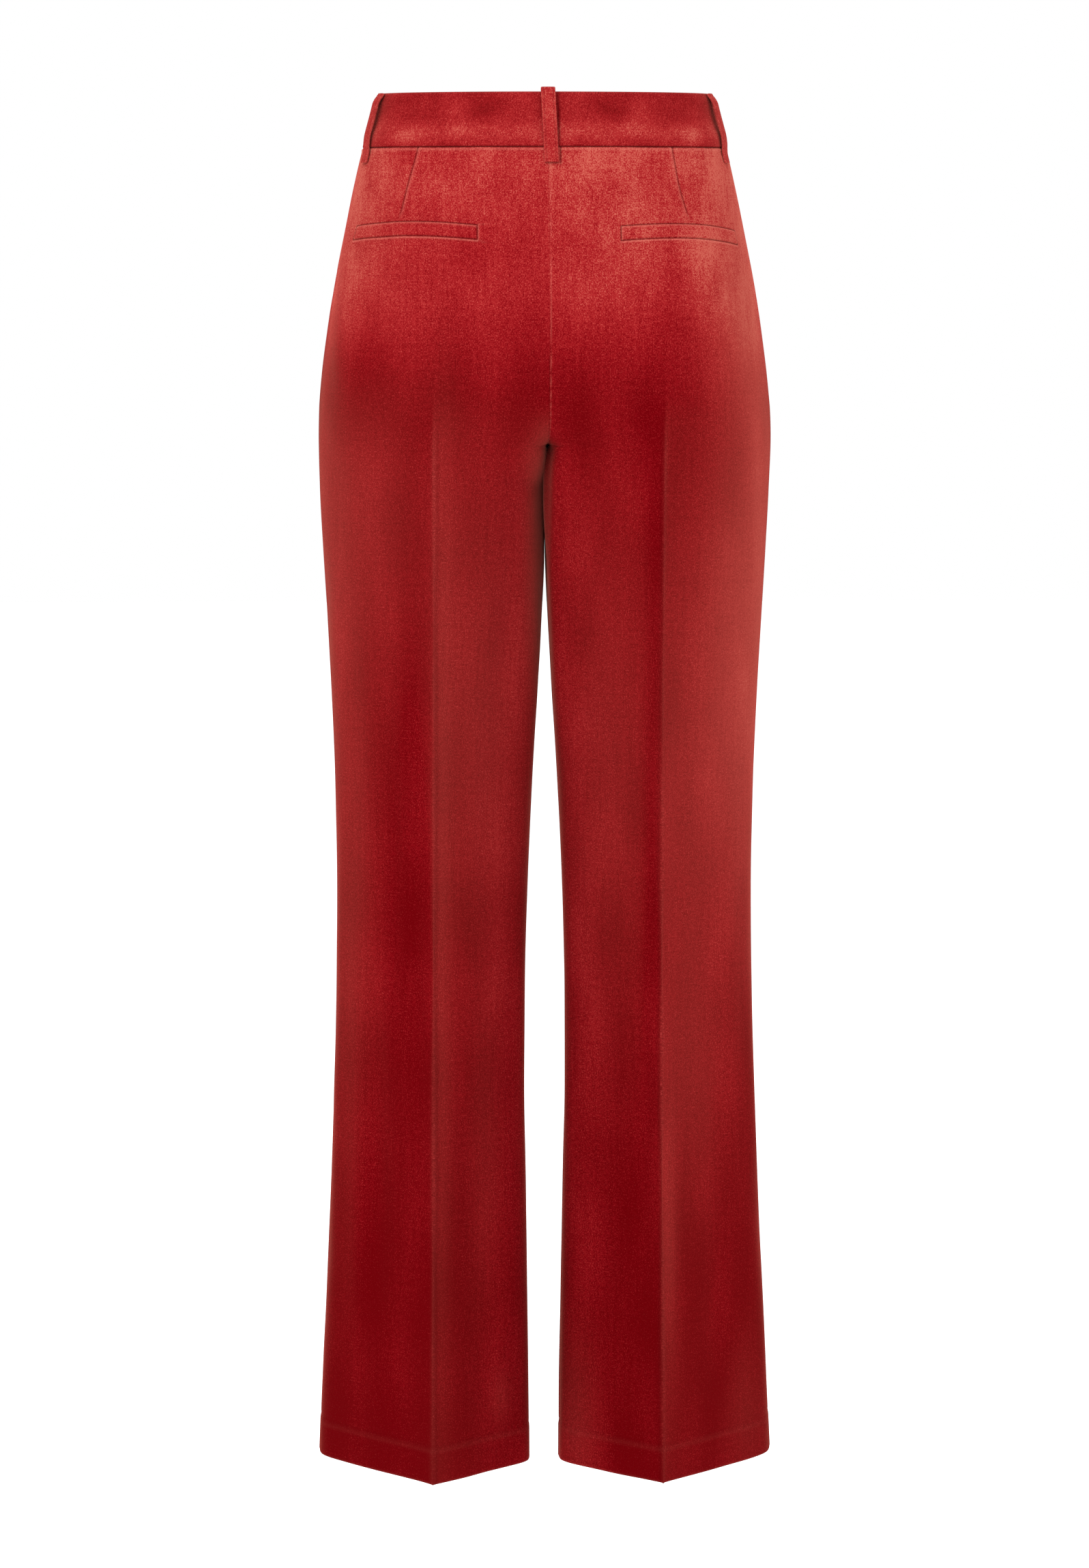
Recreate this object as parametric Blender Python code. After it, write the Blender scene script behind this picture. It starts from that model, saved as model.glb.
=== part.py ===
"""Flared velvet trousers, filled out as if worn and held at the waist.

Metres, +Z up. The wearer faces -Y, so the wearer's left is +X and the seat is at +Y.
The origin is the centre of the waist ring, at half the height of the waistband.

One leg is a tube whose level sections are worked out from a short table. Above the crotch the
tube reaches past the middle of the body, and the cloth stops where it meets that plane, which
draws the crotch curve. Every panel is a grid of points on that tube with a wall behind it.
"""

import math

import bmesh
import bpy
import numpy as np

# Cloth and sewing
WALL = 0.0015
SEAM_GAP = 0.0003
HALF_GAP = SEAM_GAP / 2
TUCK_GAP = 0.0010
VELVET_RED = (0.46, 0.018, 0.014, 1.0)
VELVET_ROUGHNESS = 0.85

# Heights, from the middle of the waistband
BAND_HEIGHT = 0.042
BAND_TOP = BAND_HEIGHT / 2
BAND_SEAM = -BAND_HEIGHT / 2
CROTCH = -0.2495
HEM = -1.057
HEM_DEPTH = 0.030
HEM_STEP = 0.001
HEM_DIP = 0.06
HEM_DIP_FROM = -0.60

# Waistband
BAND_WALL = 0.0026
BAND_PROUD = 0.0008
BAND_EDGE_ROUND = 0.0007
FLY_LAP = 0.008
UNDERLAP_END = 0.030
UNDERLAP_TURN = 0.005
UNDERLAP_GAP = 0.0006

# Fly: the right front laps over the left one down to here
FLY_BOTTOM = -0.190
FLY_CURVE = 0.035
FLY_RAMP_FROM = 0.020
FLY_RAMP = 0.008

# Belt loops
LOOP_WIDTH = 0.0110
LOOP_WALL = 0.0022
LOOP_SLACK = 0.0030
LOOP_RISE = 0.0030
LOOP_FOOT = -0.0325
BACK_LOOP_SHARE = 0.148
FRONT_LOOP_SHARE = 0.430

# Slant pocket in the front, and welt pocket in the back
MOUTH_WIDTH = 0.040
MOUTH_BOTTOM = -0.1450
FACING_TUCK = 0.012
FACING_BOTTOM = -0.152
FACING_DIVE = 0.030
FACING_LEAST = 0.005
FACING_RISE = 0.006
WELT_HEIGHT = 0.0110
WELT_INNER_X = 0.0550
WELT_OUTER_X = 0.1450
WELT_ARCH = 0.0032
WELT_WALL = 0.0012
WELT_GAP = 0.0006

# Grid sizes
OUTER_COLUMNS = 7
INNER_COLUMNS = 3
CORNER_COLUMNS = 5
CORNER_SHARE = 0.35
BEND_WEIGHT = 0.04
BAND_COLUMNS = 14
UNDERLAP_COLUMNS = 5
FACING_ROWS = 9
WELT_COLUMNS = 12
ARC_POINTS = 60
NORMAL_STEP = 0.001
MITRE_LIMIT = 0.5

# Level sections of the left leg tube, a row for each height.
# side and inner are its outermost and innermost x, ridge is the x where it is deepest,
# back and front are its depths there, and the two seam columns are the y of its sides.
# A corner value of 1 makes a round section and a small one a sharp crease with flat sides,
# and a pull says how close the cloth keeps to that corner.
SECTION_COLUMNS = (
    "z", "side", "inner", "ridge", "back", "front",
    "side_seam", "inner_seam", "side_corner", "side_pull", "inner_corner", "inner_pull",
)
SECTION_ROWS = (
    (0.0210, 0.1295, 0.0003, 0.0000, 0.0960, -0.0985, 0.000, 0.000, 1.00, 0.74, 1.00, 1.00),
    (0.0000, 0.1350, 0.0003, 0.0000, 0.1005, -0.1005, 0.000, 0.000, 1.00, 0.74, 1.00, 1.00),
    (-0.0210, 0.1415, 0.0003, 0.0000, 0.1052, -0.1025, 0.000, 0.000, 1.00, 0.75, 1.00, 1.00),
    (-0.0520, 0.1489, 0.0003, 0.0030, 0.1122, -0.1050, 0.000, 0.000, 1.00, 0.76, 1.00, 1.00),
    (-0.0920, 0.1572, 0.0003, 0.0150, 0.1206, -0.1072, 0.000, 0.000, 1.00, 0.77, 1.00, 1.05),
    (-0.1300, 0.1647, 0.0003, 0.0370, 0.1267, -0.1082, 0.000, 0.001, 1.00, 0.78, 1.00, 1.15),
    (-0.1650, 0.1700, 0.0003, 0.0610, 0.1302, -0.1082, 0.000, 0.002, 1.00, 0.79, 1.00, 1.30),
    (-0.1980, 0.1741, 0.0003, 0.0780, 0.1312, -0.1077, 0.000, 0.003, 0.98, 0.81, 0.98, 1.50),
    (-0.2250, 0.1762, 0.0003, 0.0855, 0.1298, -0.1068, 0.000, 0.005, 0.94, 0.84, 0.95, 1.65),
    (-0.2495, 0.1767, 0.0003, 0.0882, 0.1266, -0.1053, 0.000, 0.006, 0.88, 0.90, 0.92, 1.75),
    (-0.2850, 0.1759, 0.0003, 0.0885, 0.1206, -0.1026, 0.000, 0.006, 0.76, 1.02, 0.84, 1.85),
    (-0.3330, 0.1736, 0.0004, 0.0885, 0.1120, -0.0984, 0.000, 0.006, 0.62, 1.22, 0.68, 1.90),
    (-0.3860, 0.1706, 0.0024, 0.0885, 0.1036, -0.0938, -0.001, 0.006, 0.50, 1.52, 0.52, 2.00),
    (-0.4400, 0.1678, 0.0054, 0.0885, 0.0963, -0.0893, -0.003, 0.006, 0.42, 1.85, 0.40, 2.10),
    (-0.5210, 0.1648, 0.0104, 0.0886, 0.0876, -0.0838, -0.006, 0.006, 0.35, 2.25, 0.31, 2.35),
    (-0.6000, 0.1637, 0.0138, 0.0887, 0.0820, -0.0812, -0.008, 0.006, 0.31, 2.60, 0.26, 2.60),
    (-0.6800, 0.1645, 0.0158, 0.0889, 0.0798, -0.0815, -0.010, 0.007, 0.29, 2.90, 0.23, 2.90),
    (-0.7600, 0.1665, 0.0163, 0.0891, 0.0800, -0.0840, -0.012, 0.008, 0.28, 3.20, 0.22, 3.20),
    (-0.8400, 0.1693, 0.0152, 0.0894, 0.0818, -0.0876, -0.015, 0.009, 0.27, 3.40, 0.21, 3.40),
    (-0.9200, 0.1727, 0.0142, 0.0898, 0.0846, -0.0920, -0.017, 0.010, 0.26, 3.60, 0.20, 3.60),
    (-0.9900, 0.1762, 0.0133, 0.0901, 0.0875, -0.0965, -0.020, 0.011, 0.25, 3.80, 0.19, 3.80),
    (-1.0570, 0.1792, 0.0128, 0.0903, 0.0905, -0.1010, -0.022, 0.012, 0.25, 4.00, 0.18, 4.00),
)
RISE_SPREAD = 1.2
CREASE_X = 0.0885

# Rows of a leg panel: steps up from the crotch, and shares of the way down from it to the hem
RISE_STEPS = (
    0.1930, 0.1600, 0.1310, MOUTH_BOTTOM - CROTCH, 0.0790, FLY_BOTTOM - CROTCH,
    0.0420, 0.0290, 0.0190, 0.0115, 0.0062, 0.0028, 0.0010,
)
LEG_SHARES = (
    0.008, 0.025, 0.050, 0.080, 0.115, 0.155, 0.205, 0.265, 0.335, 0.410, 0.490, 0.570, 0.650,
    0.730, 0.810, 0.890, 0.960,
)
BACK = 1
FRONT = -1
LEFT = 1
RIGHT = -1

# Heights of each welt's top edge at its outer and inner end
WELT_TOPS = {LEFT: (-0.0815, -0.0805), RIGHT: (-0.0850, -0.0812)}


def end_slopes(heights, values):
    """Slopes of a smooth curve through the table that never overshoots its rows: the harmonic
    mean of the steps on either side, or none where they turn."""
    steps = np.diff(values, axis=0) / np.diff(heights)[:, None]
    before, after = steps[:-1], steps[1:]
    turns = before * after <= 0
    mean = 2 * before * after / np.where(turns, 1.0, before + after)
    return np.vstack([steps[:1], np.where(turns, 0.0, mean), steps[-1:]])


TABLE = np.array(SECTION_ROWS)[::-1]
TABLE_Z, TABLE_VALUES = TABLE[:, 0], TABLE[:, 1:]
TABLE_SLOPES = end_slopes(TABLE_Z, TABLE_VALUES)


def section(z):
    """The table's row at any height, by cubic steps between the rows, as a name to value dict.
    Above the crotch the tube reaches further past the middle with every step up."""
    above = max(0.0, z - CROTCH)
    z = min(max(z, TABLE_Z[0]), TABLE_Z[-1])
    low = min(int(np.searchsorted(TABLE_Z, z, side="right")) - 1, len(TABLE_Z) - 2)
    width = TABLE_Z[low + 1] - TABLE_Z[low]
    t = (z - TABLE_Z[low]) / width
    values = (
        (2 * t**3 - 3 * t**2 + 1) * TABLE_VALUES[low]
        + (3 * t**2 - 2 * t**3) * TABLE_VALUES[low + 1]
        + (t**3 - 2 * t**2 + t) * width * TABLE_SLOPES[low]
        + (t**3 - t**2) * width * TABLE_SLOPES[low + 1]
    )
    found = dict(zip(SECTION_COLUMNS[1:], values))
    found["inner"] -= RISE_SPREAD * above
    return found


def quarter(ridge, side, corner, pull):
    """A conic from the deepest point to the side of the tube. It leaves towards a corner point
    beside the side seam, and arrives running straight back or forward."""
    turn = np.array([side[0], side[1] + corner * (ridge[1] - side[1])])
    t = np.linspace(0, 1, ARC_POINTS)[:, None]
    weights = (1 - t) ** 2, 2 * pull * t * (1 - t), t**2
    return (weights[0] * ridge + weights[1] * turn + weights[2] * side) / sum(weights)


def half_section(z, half):
    """x and y along the back (1) or front (-1) half of the left tube at one height, from the side
    seam over the crease to the middle seam or inseam, and the arc length of that end. Above the
    crotch the line runs on past the middle seam, mirrored, for pieces that lap over it."""
    s = section(z)
    ridge = np.array([s["ridge"], s["back"] if half == BACK else s["front"]])
    side = np.array([s["side"], s["side_seam"]])
    inner = np.array([s["inner"], s["inner_seam"]])
    outer_part = quarter(ridge, side, s["side_corner"], s["side_pull"])[::-1]
    inner_part = quarter(ridge, inner, s["inner_corner"], s["inner_pull"])
    line = np.vstack([outer_part, inner_part[1:]])
    end = None
    if inner[0] < HALF_GAP:
        past = int(np.argmax(line[:, 0] < HALF_GAP))
        a, b = line[past - 1], line[past]
        cut = a + (b - a) * (a[0] - HALF_GAP) / (a[0] - b[0])
        kept = np.vstack([line[:past], cut])
        end = arc_lengths(kept)[-1]
        mirrored = kept[::-1] * (-1, 1)
        line = np.vstack([kept, mirrored])
    lengths = arc_lengths(line)
    return line, lengths, lengths[-1] - HALF_GAP if end is None else end


def arc_lengths(line):
    """Distance along a line of points, from its first one."""
    return np.concatenate([[0], np.cumsum(np.linalg.norm(np.diff(line, axis=0), axis=1))])


def at_lengths(line, lengths, wanted):
    """Points on a line at these distances along it."""
    return np.column_stack([np.interp(wanted, lengths, line[:, k]) for k in (0, 1)])


def arc_at_x(line, lengths, x):
    """Distance from the side seam to where the line has this x, on its way to the middle."""
    return float(np.interp(-x, -line[:, 0], lengths))


def hem_dip(points):
    """The hem is cut longer at the back than at the front: below the knee every point drops by a
    share of its y, which grows from none to the full slope at the hem."""
    share = np.clip((HEM_DIP_FROM - points[:, 2]) / (HEM_DIP_FROM - HEM), 0, 1)
    points[:, 2] -= HEM_DIP * share * points[:, 1]
    return points


def tube_row(half, z, arcs):
    """Points on the outside of the tube at one height and these distances from the side seam."""
    line, lengths, _ = half_section(z, half)
    flat = at_lengths(line, lengths, arcs)
    return hem_dip(np.column_stack([flat, np.full(len(flat), z)]))


def tube_normals(half, z, arcs):
    """Unit normals there, square to the steps along the level and up the leg. At the side seam
    and the inseam they lie in the seam's own upright plane."""
    arcs = np.asarray(arcs)
    across = tube_row(half, z, arcs + NORMAL_STEP) - tube_row(half, z, arcs - NORMAL_STEP)
    up = tube_row(half, z + NORMAL_STEP, arcs) - tube_row(half, z - NORMAL_STEP, arcs)
    normals = half * np.cross(across, up)
    _, _, end = half_section(z, half)
    at_seam = arcs <= HALF_GAP * 1.01
    if z <= CROTCH:
        at_seam = at_seam | (arcs >= end - HALF_GAP * 0.01)
    normals[at_seam, 1] = 0
    return normals / np.linalg.norm(normals, axis=1, keepdims=True)


def tube_grid(half, heights, arc_rows):
    """Grids of points and normals, a row of distances from the side seam for each height."""
    points = [tube_row(half, z, arcs) for z, arcs in zip(heights, arc_rows)]
    normals = [tube_normals(half, z, arcs) for z, arcs in zip(heights, arc_rows)]
    return np.array(points), np.array(normals)


def panel_heights():
    """Row heights of a leg panel from the waist seam to the hem, close together at the crotch,
    with two rows at the step of the turned-up hem."""
    top = BAND_SEAM - SEAM_GAP
    fold = HEM + HEM_DEPTH
    rise = [CROTCH + step for step in RISE_STEPS]
    leg = [CROTCH + (fold - CROTCH) * share for share in LEG_SHARES]
    ends = [fold + HEM_STEP / 2, fold - HEM_STEP / 2, HEM]
    return np.array([top, *rise, CROTCH, *leg, *ends])


def mouth_edge(z):
    """How far the front panel is cut back from the side seam at the slant pocket's mouth."""
    share = (z - MOUTH_BOTTOM) / (BAND_SEAM - MOUTH_BOTTOM)
    return HALF_GAP + MOUTH_WIDTH * max(0.0, share)


def fly_edge(z):
    """How far the lapping front reaches past the middle: full width, then a curve to nothing."""
    share = min(max((z - FLY_BOTTOM) / FLY_CURVE, 0.0), 1.0)
    return FLY_LAP * math.sqrt(1 - (1 - share) ** 2)


def spread_arcs(line, lengths, start, end, count):
    """Distances between two on a line, closer together where it bends."""
    steps = np.diff(line, axis=0)
    headings = np.unwrap(np.arctan2(steps[:, 1], steps[:, 0]))
    turned = np.concatenate([[0], np.cumsum(abs(np.diff(headings))), [0]])
    turned[-1] = turned[-2]
    measure = lengths + BEND_WEIGHT * turned
    ends = np.interp([start, end], lengths, measure)
    return np.interp(np.linspace(*ends, count + 1), measure, lengths)


def panel_arcs(half, heights, starts, laps):
    """Distances of a leg panel's columns, from its side edge to the crease, from there to where
    the cloth starts to turn inwards, and on to the middle seam or inseam, or as far past it as
    the panel laps."""
    rows = []
    for z in heights:
        line, lengths, end = half_section(z, half)
        s = section(z)
        ridge = max(CREASE_X, s["ridge"])
        crease = arc_at_x(line, lengths, ridge)
        nearest = max(s["inner"], 0)
        corner = arc_at_x(line, lengths, nearest + CORNER_SHARE * (ridge - nearest))
        outer = spread_arcs(line, lengths, starts(z), crease, OUTER_COLUMNS)
        inner = spread_arcs(line, lengths, crease, corner, INNER_COLUMNS)[1:]
        last = spread_arcs(line, lengths, corner, end + laps(z), CORNER_COLUMNS)[1:]
        rows.append(np.concatenate([outer, inner, last]))
    return rows


def mitred(points, normals):
    """Directions that the wall's inside is moved along. At the middle seam they are turned into
    the middle plane, so that the two walls meet there all through, except where the tube runs
    along that plane."""
    flat = normals * (0, 1, 1)
    size = np.linalg.norm(flat, axis=2, keepdims=True)
    turned = flat / np.maximum(size, MITRE_LIMIT) ** 2
    share = np.clip((size - MITRE_LIMIT) / (1 - MITRE_LIMIT) * 3, 0, 1)
    at_middle = (abs(points[..., :1] - HALF_GAP) < HALF_GAP * 0.1) & (points[..., 2:] > CROTCH)
    return np.where(at_middle, normals + share * (turned - normals), normals)


def behind(points, normals, depth):
    """The grid moved inwards by a depth, kept on its own side of the middle plane."""
    moved = points - mitred(points, normals) * depth
    own_side = points[..., 0] >= HALF_GAP * 0.99
    moved[..., 0] = np.where(own_side, np.maximum(moved[..., 0], HALF_GAP), moved[..., 0])
    return moved


def wall_mesh(name, outer, inner):
    """A closed wall between two grids of the same size."""
    rows, columns = outer.shape[:2]
    index = np.arange(rows * columns).reshape(rows, columns)
    a, b, c, d = index[:-1, :-1], index[:-1, 1:], index[1:, 1:], index[1:, :-1]
    front = np.stack([a, b, c, d], axis=-1).reshape(-1, 4)
    back = front[:, ::-1] + rows * columns
    around = np.concatenate([index[0, :-1], index[:-1, -1], index[-1, :0:-1], index[:0:-1, 0]])
    after = np.roll(around, -1)
    rim = np.stack([after, around, around + rows * columns, after + rows * columns], axis=-1)
    points = np.concatenate([outer.reshape(-1, 3), inner.reshape(-1, 3)])
    return mesh_object(name, points, np.concatenate([front, back, rim]).tolist())


def swept_mesh(name, rings):
    """A closed solid through rings of points, with a face across each end."""
    count, around = rings.shape[:2]
    index = np.arange(count * around).reshape(count, around)
    after = np.roll(index, -1, axis=1)
    sides = np.stack([index[:-1], after[:-1], after[1:], index[1:]], axis=-1).reshape(-1, 4)
    ends = [index[0, ::-1].tolist(), index[-1].tolist()]
    return mesh_object(name, rings.reshape(-1, 3), sides.tolist() + ends)


def mesh_object(name, points, faces):
    """An object with its faces pointing out, shaded smooth but for sharp edges."""
    mesh = bpy.data.meshes.new(name)
    mesh.from_pydata(points.tolist(), [], faces)
    work = bmesh.new()
    work.from_mesh(mesh)
    bmesh.ops.recalc_face_normals(work, faces=work.faces)
    work.to_mesh(mesh)
    work.free()
    mesh.shade_smooth()
    mesh.set_sharp_from_angle(angle=math.radians(40))
    mesh.materials.append(velvet())
    piece = bpy.data.objects.new(name, mesh)
    bpy.context.scene.collection.objects.link(piece)
    return piece


def velvet():
    """The one cloth of every piece: deep red velvet with a soft sheen."""
    found = bpy.data.materials.get("velvet")
    if found:
        return found
    made = bpy.data.materials.new("velvet")
    made.use_nodes = True
    shader = made.node_tree.nodes["Principled BSDF"]
    shader.inputs["Base Color"].default_value = VELVET_RED
    shader.inputs["Roughness"].default_value = VELVET_ROUGHNESS
    shader.inputs["Metallic"].default_value = 0.0
    shader.inputs["Sheen Weight"].default_value = 0.5
    return made


def on_side(points, side):
    """Points of the left half as they are, or mirrored for the right half."""
    return points * (side, 1, 1)


def side_name(side):
    return "left" if side == LEFT else "right"


def cloth_depths(heights):
    """Wall depth of each row: one cloth, and two where the hem is turned up."""
    depths = np.where(heights < HEM + HEM_DEPTH, 2 * WALL, WALL)
    return depths[:, None, None]


def fly_lift(heights, arc_rows):
    """How far each point of the lapping front is moved out, over the cloth that it laps."""
    ends = np.array([half_section(z, FRONT)[2] for z in heights])[:, None]
    lift = np.clip((arc_rows - ends + FLY_RAMP_FROM) / FLY_RAMP, 0, 1)
    lift = np.where(heights[:, None] >= FLY_BOTTOM - 1e-9, lift, 0)
    return lift[..., None] * (WALL + SEAM_GAP)


def leg_panel(name, side, half, starts, laps=None):
    """A front or back leg. Where it laps past the middle it is lifted by the cloth under it."""
    heights = panel_heights()
    arcs = panel_arcs(half, heights, starts, laps or (lambda z: 0.0))
    points, normals = tube_grid(half, heights, arcs)
    if laps:
        points += normals * fly_lift(heights, np.array(arcs))
    inner = behind(points, normals, cloth_depths(heights))
    wall_mesh(name, on_side(points, side), on_side(inner, side))


def back_panels():
    """The two back legs, from the side seam to the middle back seam and inseam."""
    for side in (LEFT, RIGHT):
        leg_panel(f"back_{side_name(side)}", side, BACK, lambda z: HALF_GAP)


def front_panels():
    """The two front legs, cut back at the slant pocket. The right one laps over the left."""
    leg_panel("front_left", LEFT, FRONT, mouth_edge)
    leg_panel("front_right", RIGHT, FRONT, mouth_edge, fly_edge)


def pocket_facings():
    """The cloth seen in each slant pocket's mouth. It is flush at the side seam, dives behind the
    front panel's edge and is tucked under it."""
    heights = np.linspace(BAND_SEAM - SEAM_GAP, FACING_BOTTOM, FACING_ROWS)
    shares = np.array([0, 0.34, 0.67, 1.0])
    arcs, depths = [], []
    for z in heights:
        edge = max(mouth_edge(z), HALF_GAP + FACING_LEAST)
        seen = HALF_GAP + (edge - HALF_GAP) * shares * 0.92
        arcs.append(np.concatenate([seen, edge + FACING_TUCK * np.array([0.0, 0.5, 1.0])]))
        dive = min(max((MOUTH_BOTTOM + FACING_DIVE - z) / (FACING_DIVE * 0.6), 0.0), 1.0)
        depths.append(np.maximum(np.concatenate([shares**2, np.ones(3)]), dive))
    points, normals = tube_grid(FRONT, heights, arcs)
    tucked = len(shares)
    points[0, tucked:] = tube_row(FRONT, BAND_SEAM + FACING_RISE, arcs[0][tucked:])
    outer = points - normals * np.array(depths)[..., None] * (WALL + TUCK_GAP)
    inner = outer - normals * WALL
    for side in (LEFT, RIGHT):
        wall_mesh(f"pocket_facing_{side_name(side)}", on_side(outer, side), on_side(inner, side))


def band_profile():
    """Outline of the waistband's thickness, as height and distance out from the tube, from the
    seam up the outside, over the folded top edge and down the inside."""
    out, back, edge = BAND_PROUD, BAND_PROUD - BAND_WALL, BAND_EDGE_ROUND
    return (
        (BAND_SEAM, out - edge), (BAND_SEAM + edge, out), (-BAND_TOP / 3, out), (BAND_TOP / 3, out),
        (BAND_TOP - edge, out), (BAND_TOP, out - edge), (BAND_TOP, back + edge),
        (BAND_TOP - edge, back), (BAND_TOP / 3, back), (-BAND_TOP / 3, back),
        (BAND_SEAM + edge, back), (BAND_SEAM, back + edge),
    )


def level_normals(half, z, arcs):
    """Normals of the tube there, laid level."""
    normals = tube_normals(half, z, arcs) * (1, 1, 0)
    return normals / np.linalg.norm(normals, axis=1, keepdims=True)


def band_rings(half, shares, extras, sunk):
    """Rings of the waistband's profile along the front or back half of the waist. Each is at a
    share of the way from the side to the middle of its own level and an extra distance, and
    moved in by its sunk depth, where the end goes under the other."""
    rings = []
    for z, out in band_profile():
        _, _, end = half_section(z, half)
        arcs = shares * end + extras
        points = tube_row(half, z, arcs)
        rings.append(points + level_normals(half, z, arcs) * (out - sunk)[:, None])
    return np.array(rings).transpose(1, 0, 2)


def waistband():
    """Back band from side seam to side seam, and two front bands. The right one ends over the
    fly, and the left one turns in behind it and runs on as the underlap."""
    shares = np.linspace(0, 1, BAND_COLUMNS + 1)
    from_seam = HALF_GAP * (1 - shares)
    flush = np.zeros(len(shares))
    half = band_rings(BACK, shares, from_seam, flush)
    half[-1, :, 0] = 0.0
    whole = np.concatenate([half, (half[:-1] * (-1, 1, 1))[::-1]])
    swept_mesh("waistband_back", whole)
    right = band_rings(FRONT, shares, from_seam + FLY_LAP * shares, flush)
    swept_mesh("waistband_front_right", right * (-1, 1, 1))
    lap_line = -FLY_LAP - SEAM_GAP
    before = lap_line - UNDERLAP_TURN
    under = np.linspace(lap_line, UNDERLAP_END, UNDERLAP_COLUMNS)
    shares = np.append(shares, np.ones(UNDERLAP_COLUMNS))
    extras = np.append(from_seam + before * shares[:BAND_COLUMNS + 1], under)
    sunk = np.append(flush, np.full(UNDERLAP_COLUMNS, BAND_WALL + UNDERLAP_GAP))
    swept_mesh("waistband_front_left", band_rings(FRONT, shares, extras, sunk))


def loop_path(over):
    """Middle line of a belt loop's strap, as height and distance out from the tube. It comes out
    of the top edge of the band and bends over, or starts flat on the band's face. Then it runs
    down past the slack that a belt takes, and onto the panel below."""
    half = LOOP_WALL / 2
    flush = BAND_PROUD + SEAM_GAP + half
    out = flush + LOOP_SLACK
    top = BAND_TOP + SEAM_GAP
    bent_over = (
        (top, -0.0004), (top + LOOP_RISE * 0.45, 0.0000), (top + LOOP_RISE * 0.75, 0.0014),
        (top + LOOP_RISE * 0.70, 0.0034), (top + LOOP_RISE * 0.20, out * 0.93),
    )
    on_face = (
        (BAND_TOP - SEAM_GAP, flush), (BAND_TOP * 0.90, flush + LOOP_SLACK * 0.22),
        (BAND_TOP * 0.77, flush + LOOP_SLACK * 0.72),
    )
    return np.array((
        *(bent_over if over else on_face),
        (BAND_TOP * 0.6, out), (0.0, out), (BAND_SEAM * 0.45, out * 0.94),
        (BAND_SEAM * 0.80, (out + flush) / 2), (BAND_SEAM * 1.08, flush * 0.98),
        (BAND_SEAM * 1.25, half + SEAM_GAP * 1.6), (LOOP_FOOT, half + SEAM_GAP * 1.4),
    ))


def belt_loop(name, half, share, side):
    """A strap of one width along the loop path, standing off the band at a share of the way from
    the side seam to the middle. Only the loop at the middle bends over the band's top edge."""
    path = loop_path(over=share == 1)
    ahead = np.gradient(path, axis=0)
    ahead /= np.linalg.norm(ahead, axis=1, keepdims=True)
    rings = []
    for (z, out), (rise, run) in zip(path, ahead):
        _, _, end = half_section(z, half)
        point = tube_row(half, z, [end * share])[0]
        normal = level_normals(half, z, [end * share])[0]
        if share == 1:
            point[0] = 0.0
            normal = np.array([0.0, half, 0.0])
        along = np.array([normal[1], -normal[0], 0.0])
        square = normal * rise - np.array([0.0, 0.0, run])
        middle = point + normal * out
        corners = [
            middle + along * width * LOOP_WIDTH / 2 + square * depth * LOOP_WALL / 2
            for width, depth in ((-1, -1), (1, -1), (1, 1), (-1, 1))
        ]
        rings.append(on_side(np.array(corners), side))
    swept_mesh(name, np.array(rings))


def belt_loops():
    """One loop at the middle back, one behind each side seam, and one on each front."""
    belt_loop("belt_loop_middle_back", BACK, 1, LEFT)
    for side in (LEFT, RIGHT):
        belt_loop(f"belt_loop_back_{side_name(side)}", BACK, BACK_LOOP_SHARE, side)
        belt_loop(f"belt_loop_front_{side_name(side)}", FRONT, FRONT_LOOP_SHARE, side)


def welts():
    """A narrow strip over each back pocket, arched like the cut it closes, on the back panel. Its
    outer end runs with the side seam, and its inner end is upright."""
    shares = np.linspace(0, 1, WELT_COLUMNS)
    for side, (outer_top, inner_top) in WELT_TOPS.items():
        tops = outer_top + (inner_top - outer_top) * shares
        tops = tops + WELT_ARCH * 4 * shares * (1 - shares)
        line, lengths, _ = half_section(outer_top, BACK)
        outer_arc = arc_at_x(line, lengths, WELT_OUTER_X)
        points, normals = [], []
        for drop in np.linspace(0, WELT_HEIGHT, 3):
            for share, z in zip(shares, tops - drop):
                line, lengths, _ = half_section(z, BACK)
                inner_arc = arc_at_x(line, lengths, WELT_INNER_X)
                arc = outer_arc + (inner_arc - outer_arc) * share
                points.append(tube_row(BACK, z, [arc])[0])
                normals.append(tube_normals(BACK, z, [arc])[0])
        points = np.array(points).reshape(3, WELT_COLUMNS, 3)
        normals = np.array(normals).reshape(3, WELT_COLUMNS, 3)
        outer = points + normals * (WELT_WALL + WELT_GAP)
        inner = points + normals * WELT_GAP
        wall_mesh(f"welt_{side_name(side)}", on_side(outer, side), on_side(inner, side))


def main():
    for old in list(bpy.data.objects):
        bpy.data.objects.remove(old)
    back_panels()
    front_panels()
    pocket_facings()
    waistband()
    belt_loops()
    welts()


main()
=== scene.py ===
# %% [markdown]
# # Flared velvet trousers, filled out as if worn
#
# The real pair is four long panels of red velvet with a pressed crease down each of them, a
# waistband with five belt loops, a welt pocket on each hip and a slant pocket in each front. It
# hangs by its waist. We start from the imported solids, which fix every size, and dress each of
# them with thinner, finer cloth of its own.
#
# The wearer faces -Y, so the seat is at +Y and the wearer's left leg is at +X. All sizes are in
# metres, but for three tables that say millimetres.

# %% Load the solids
import math

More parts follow.
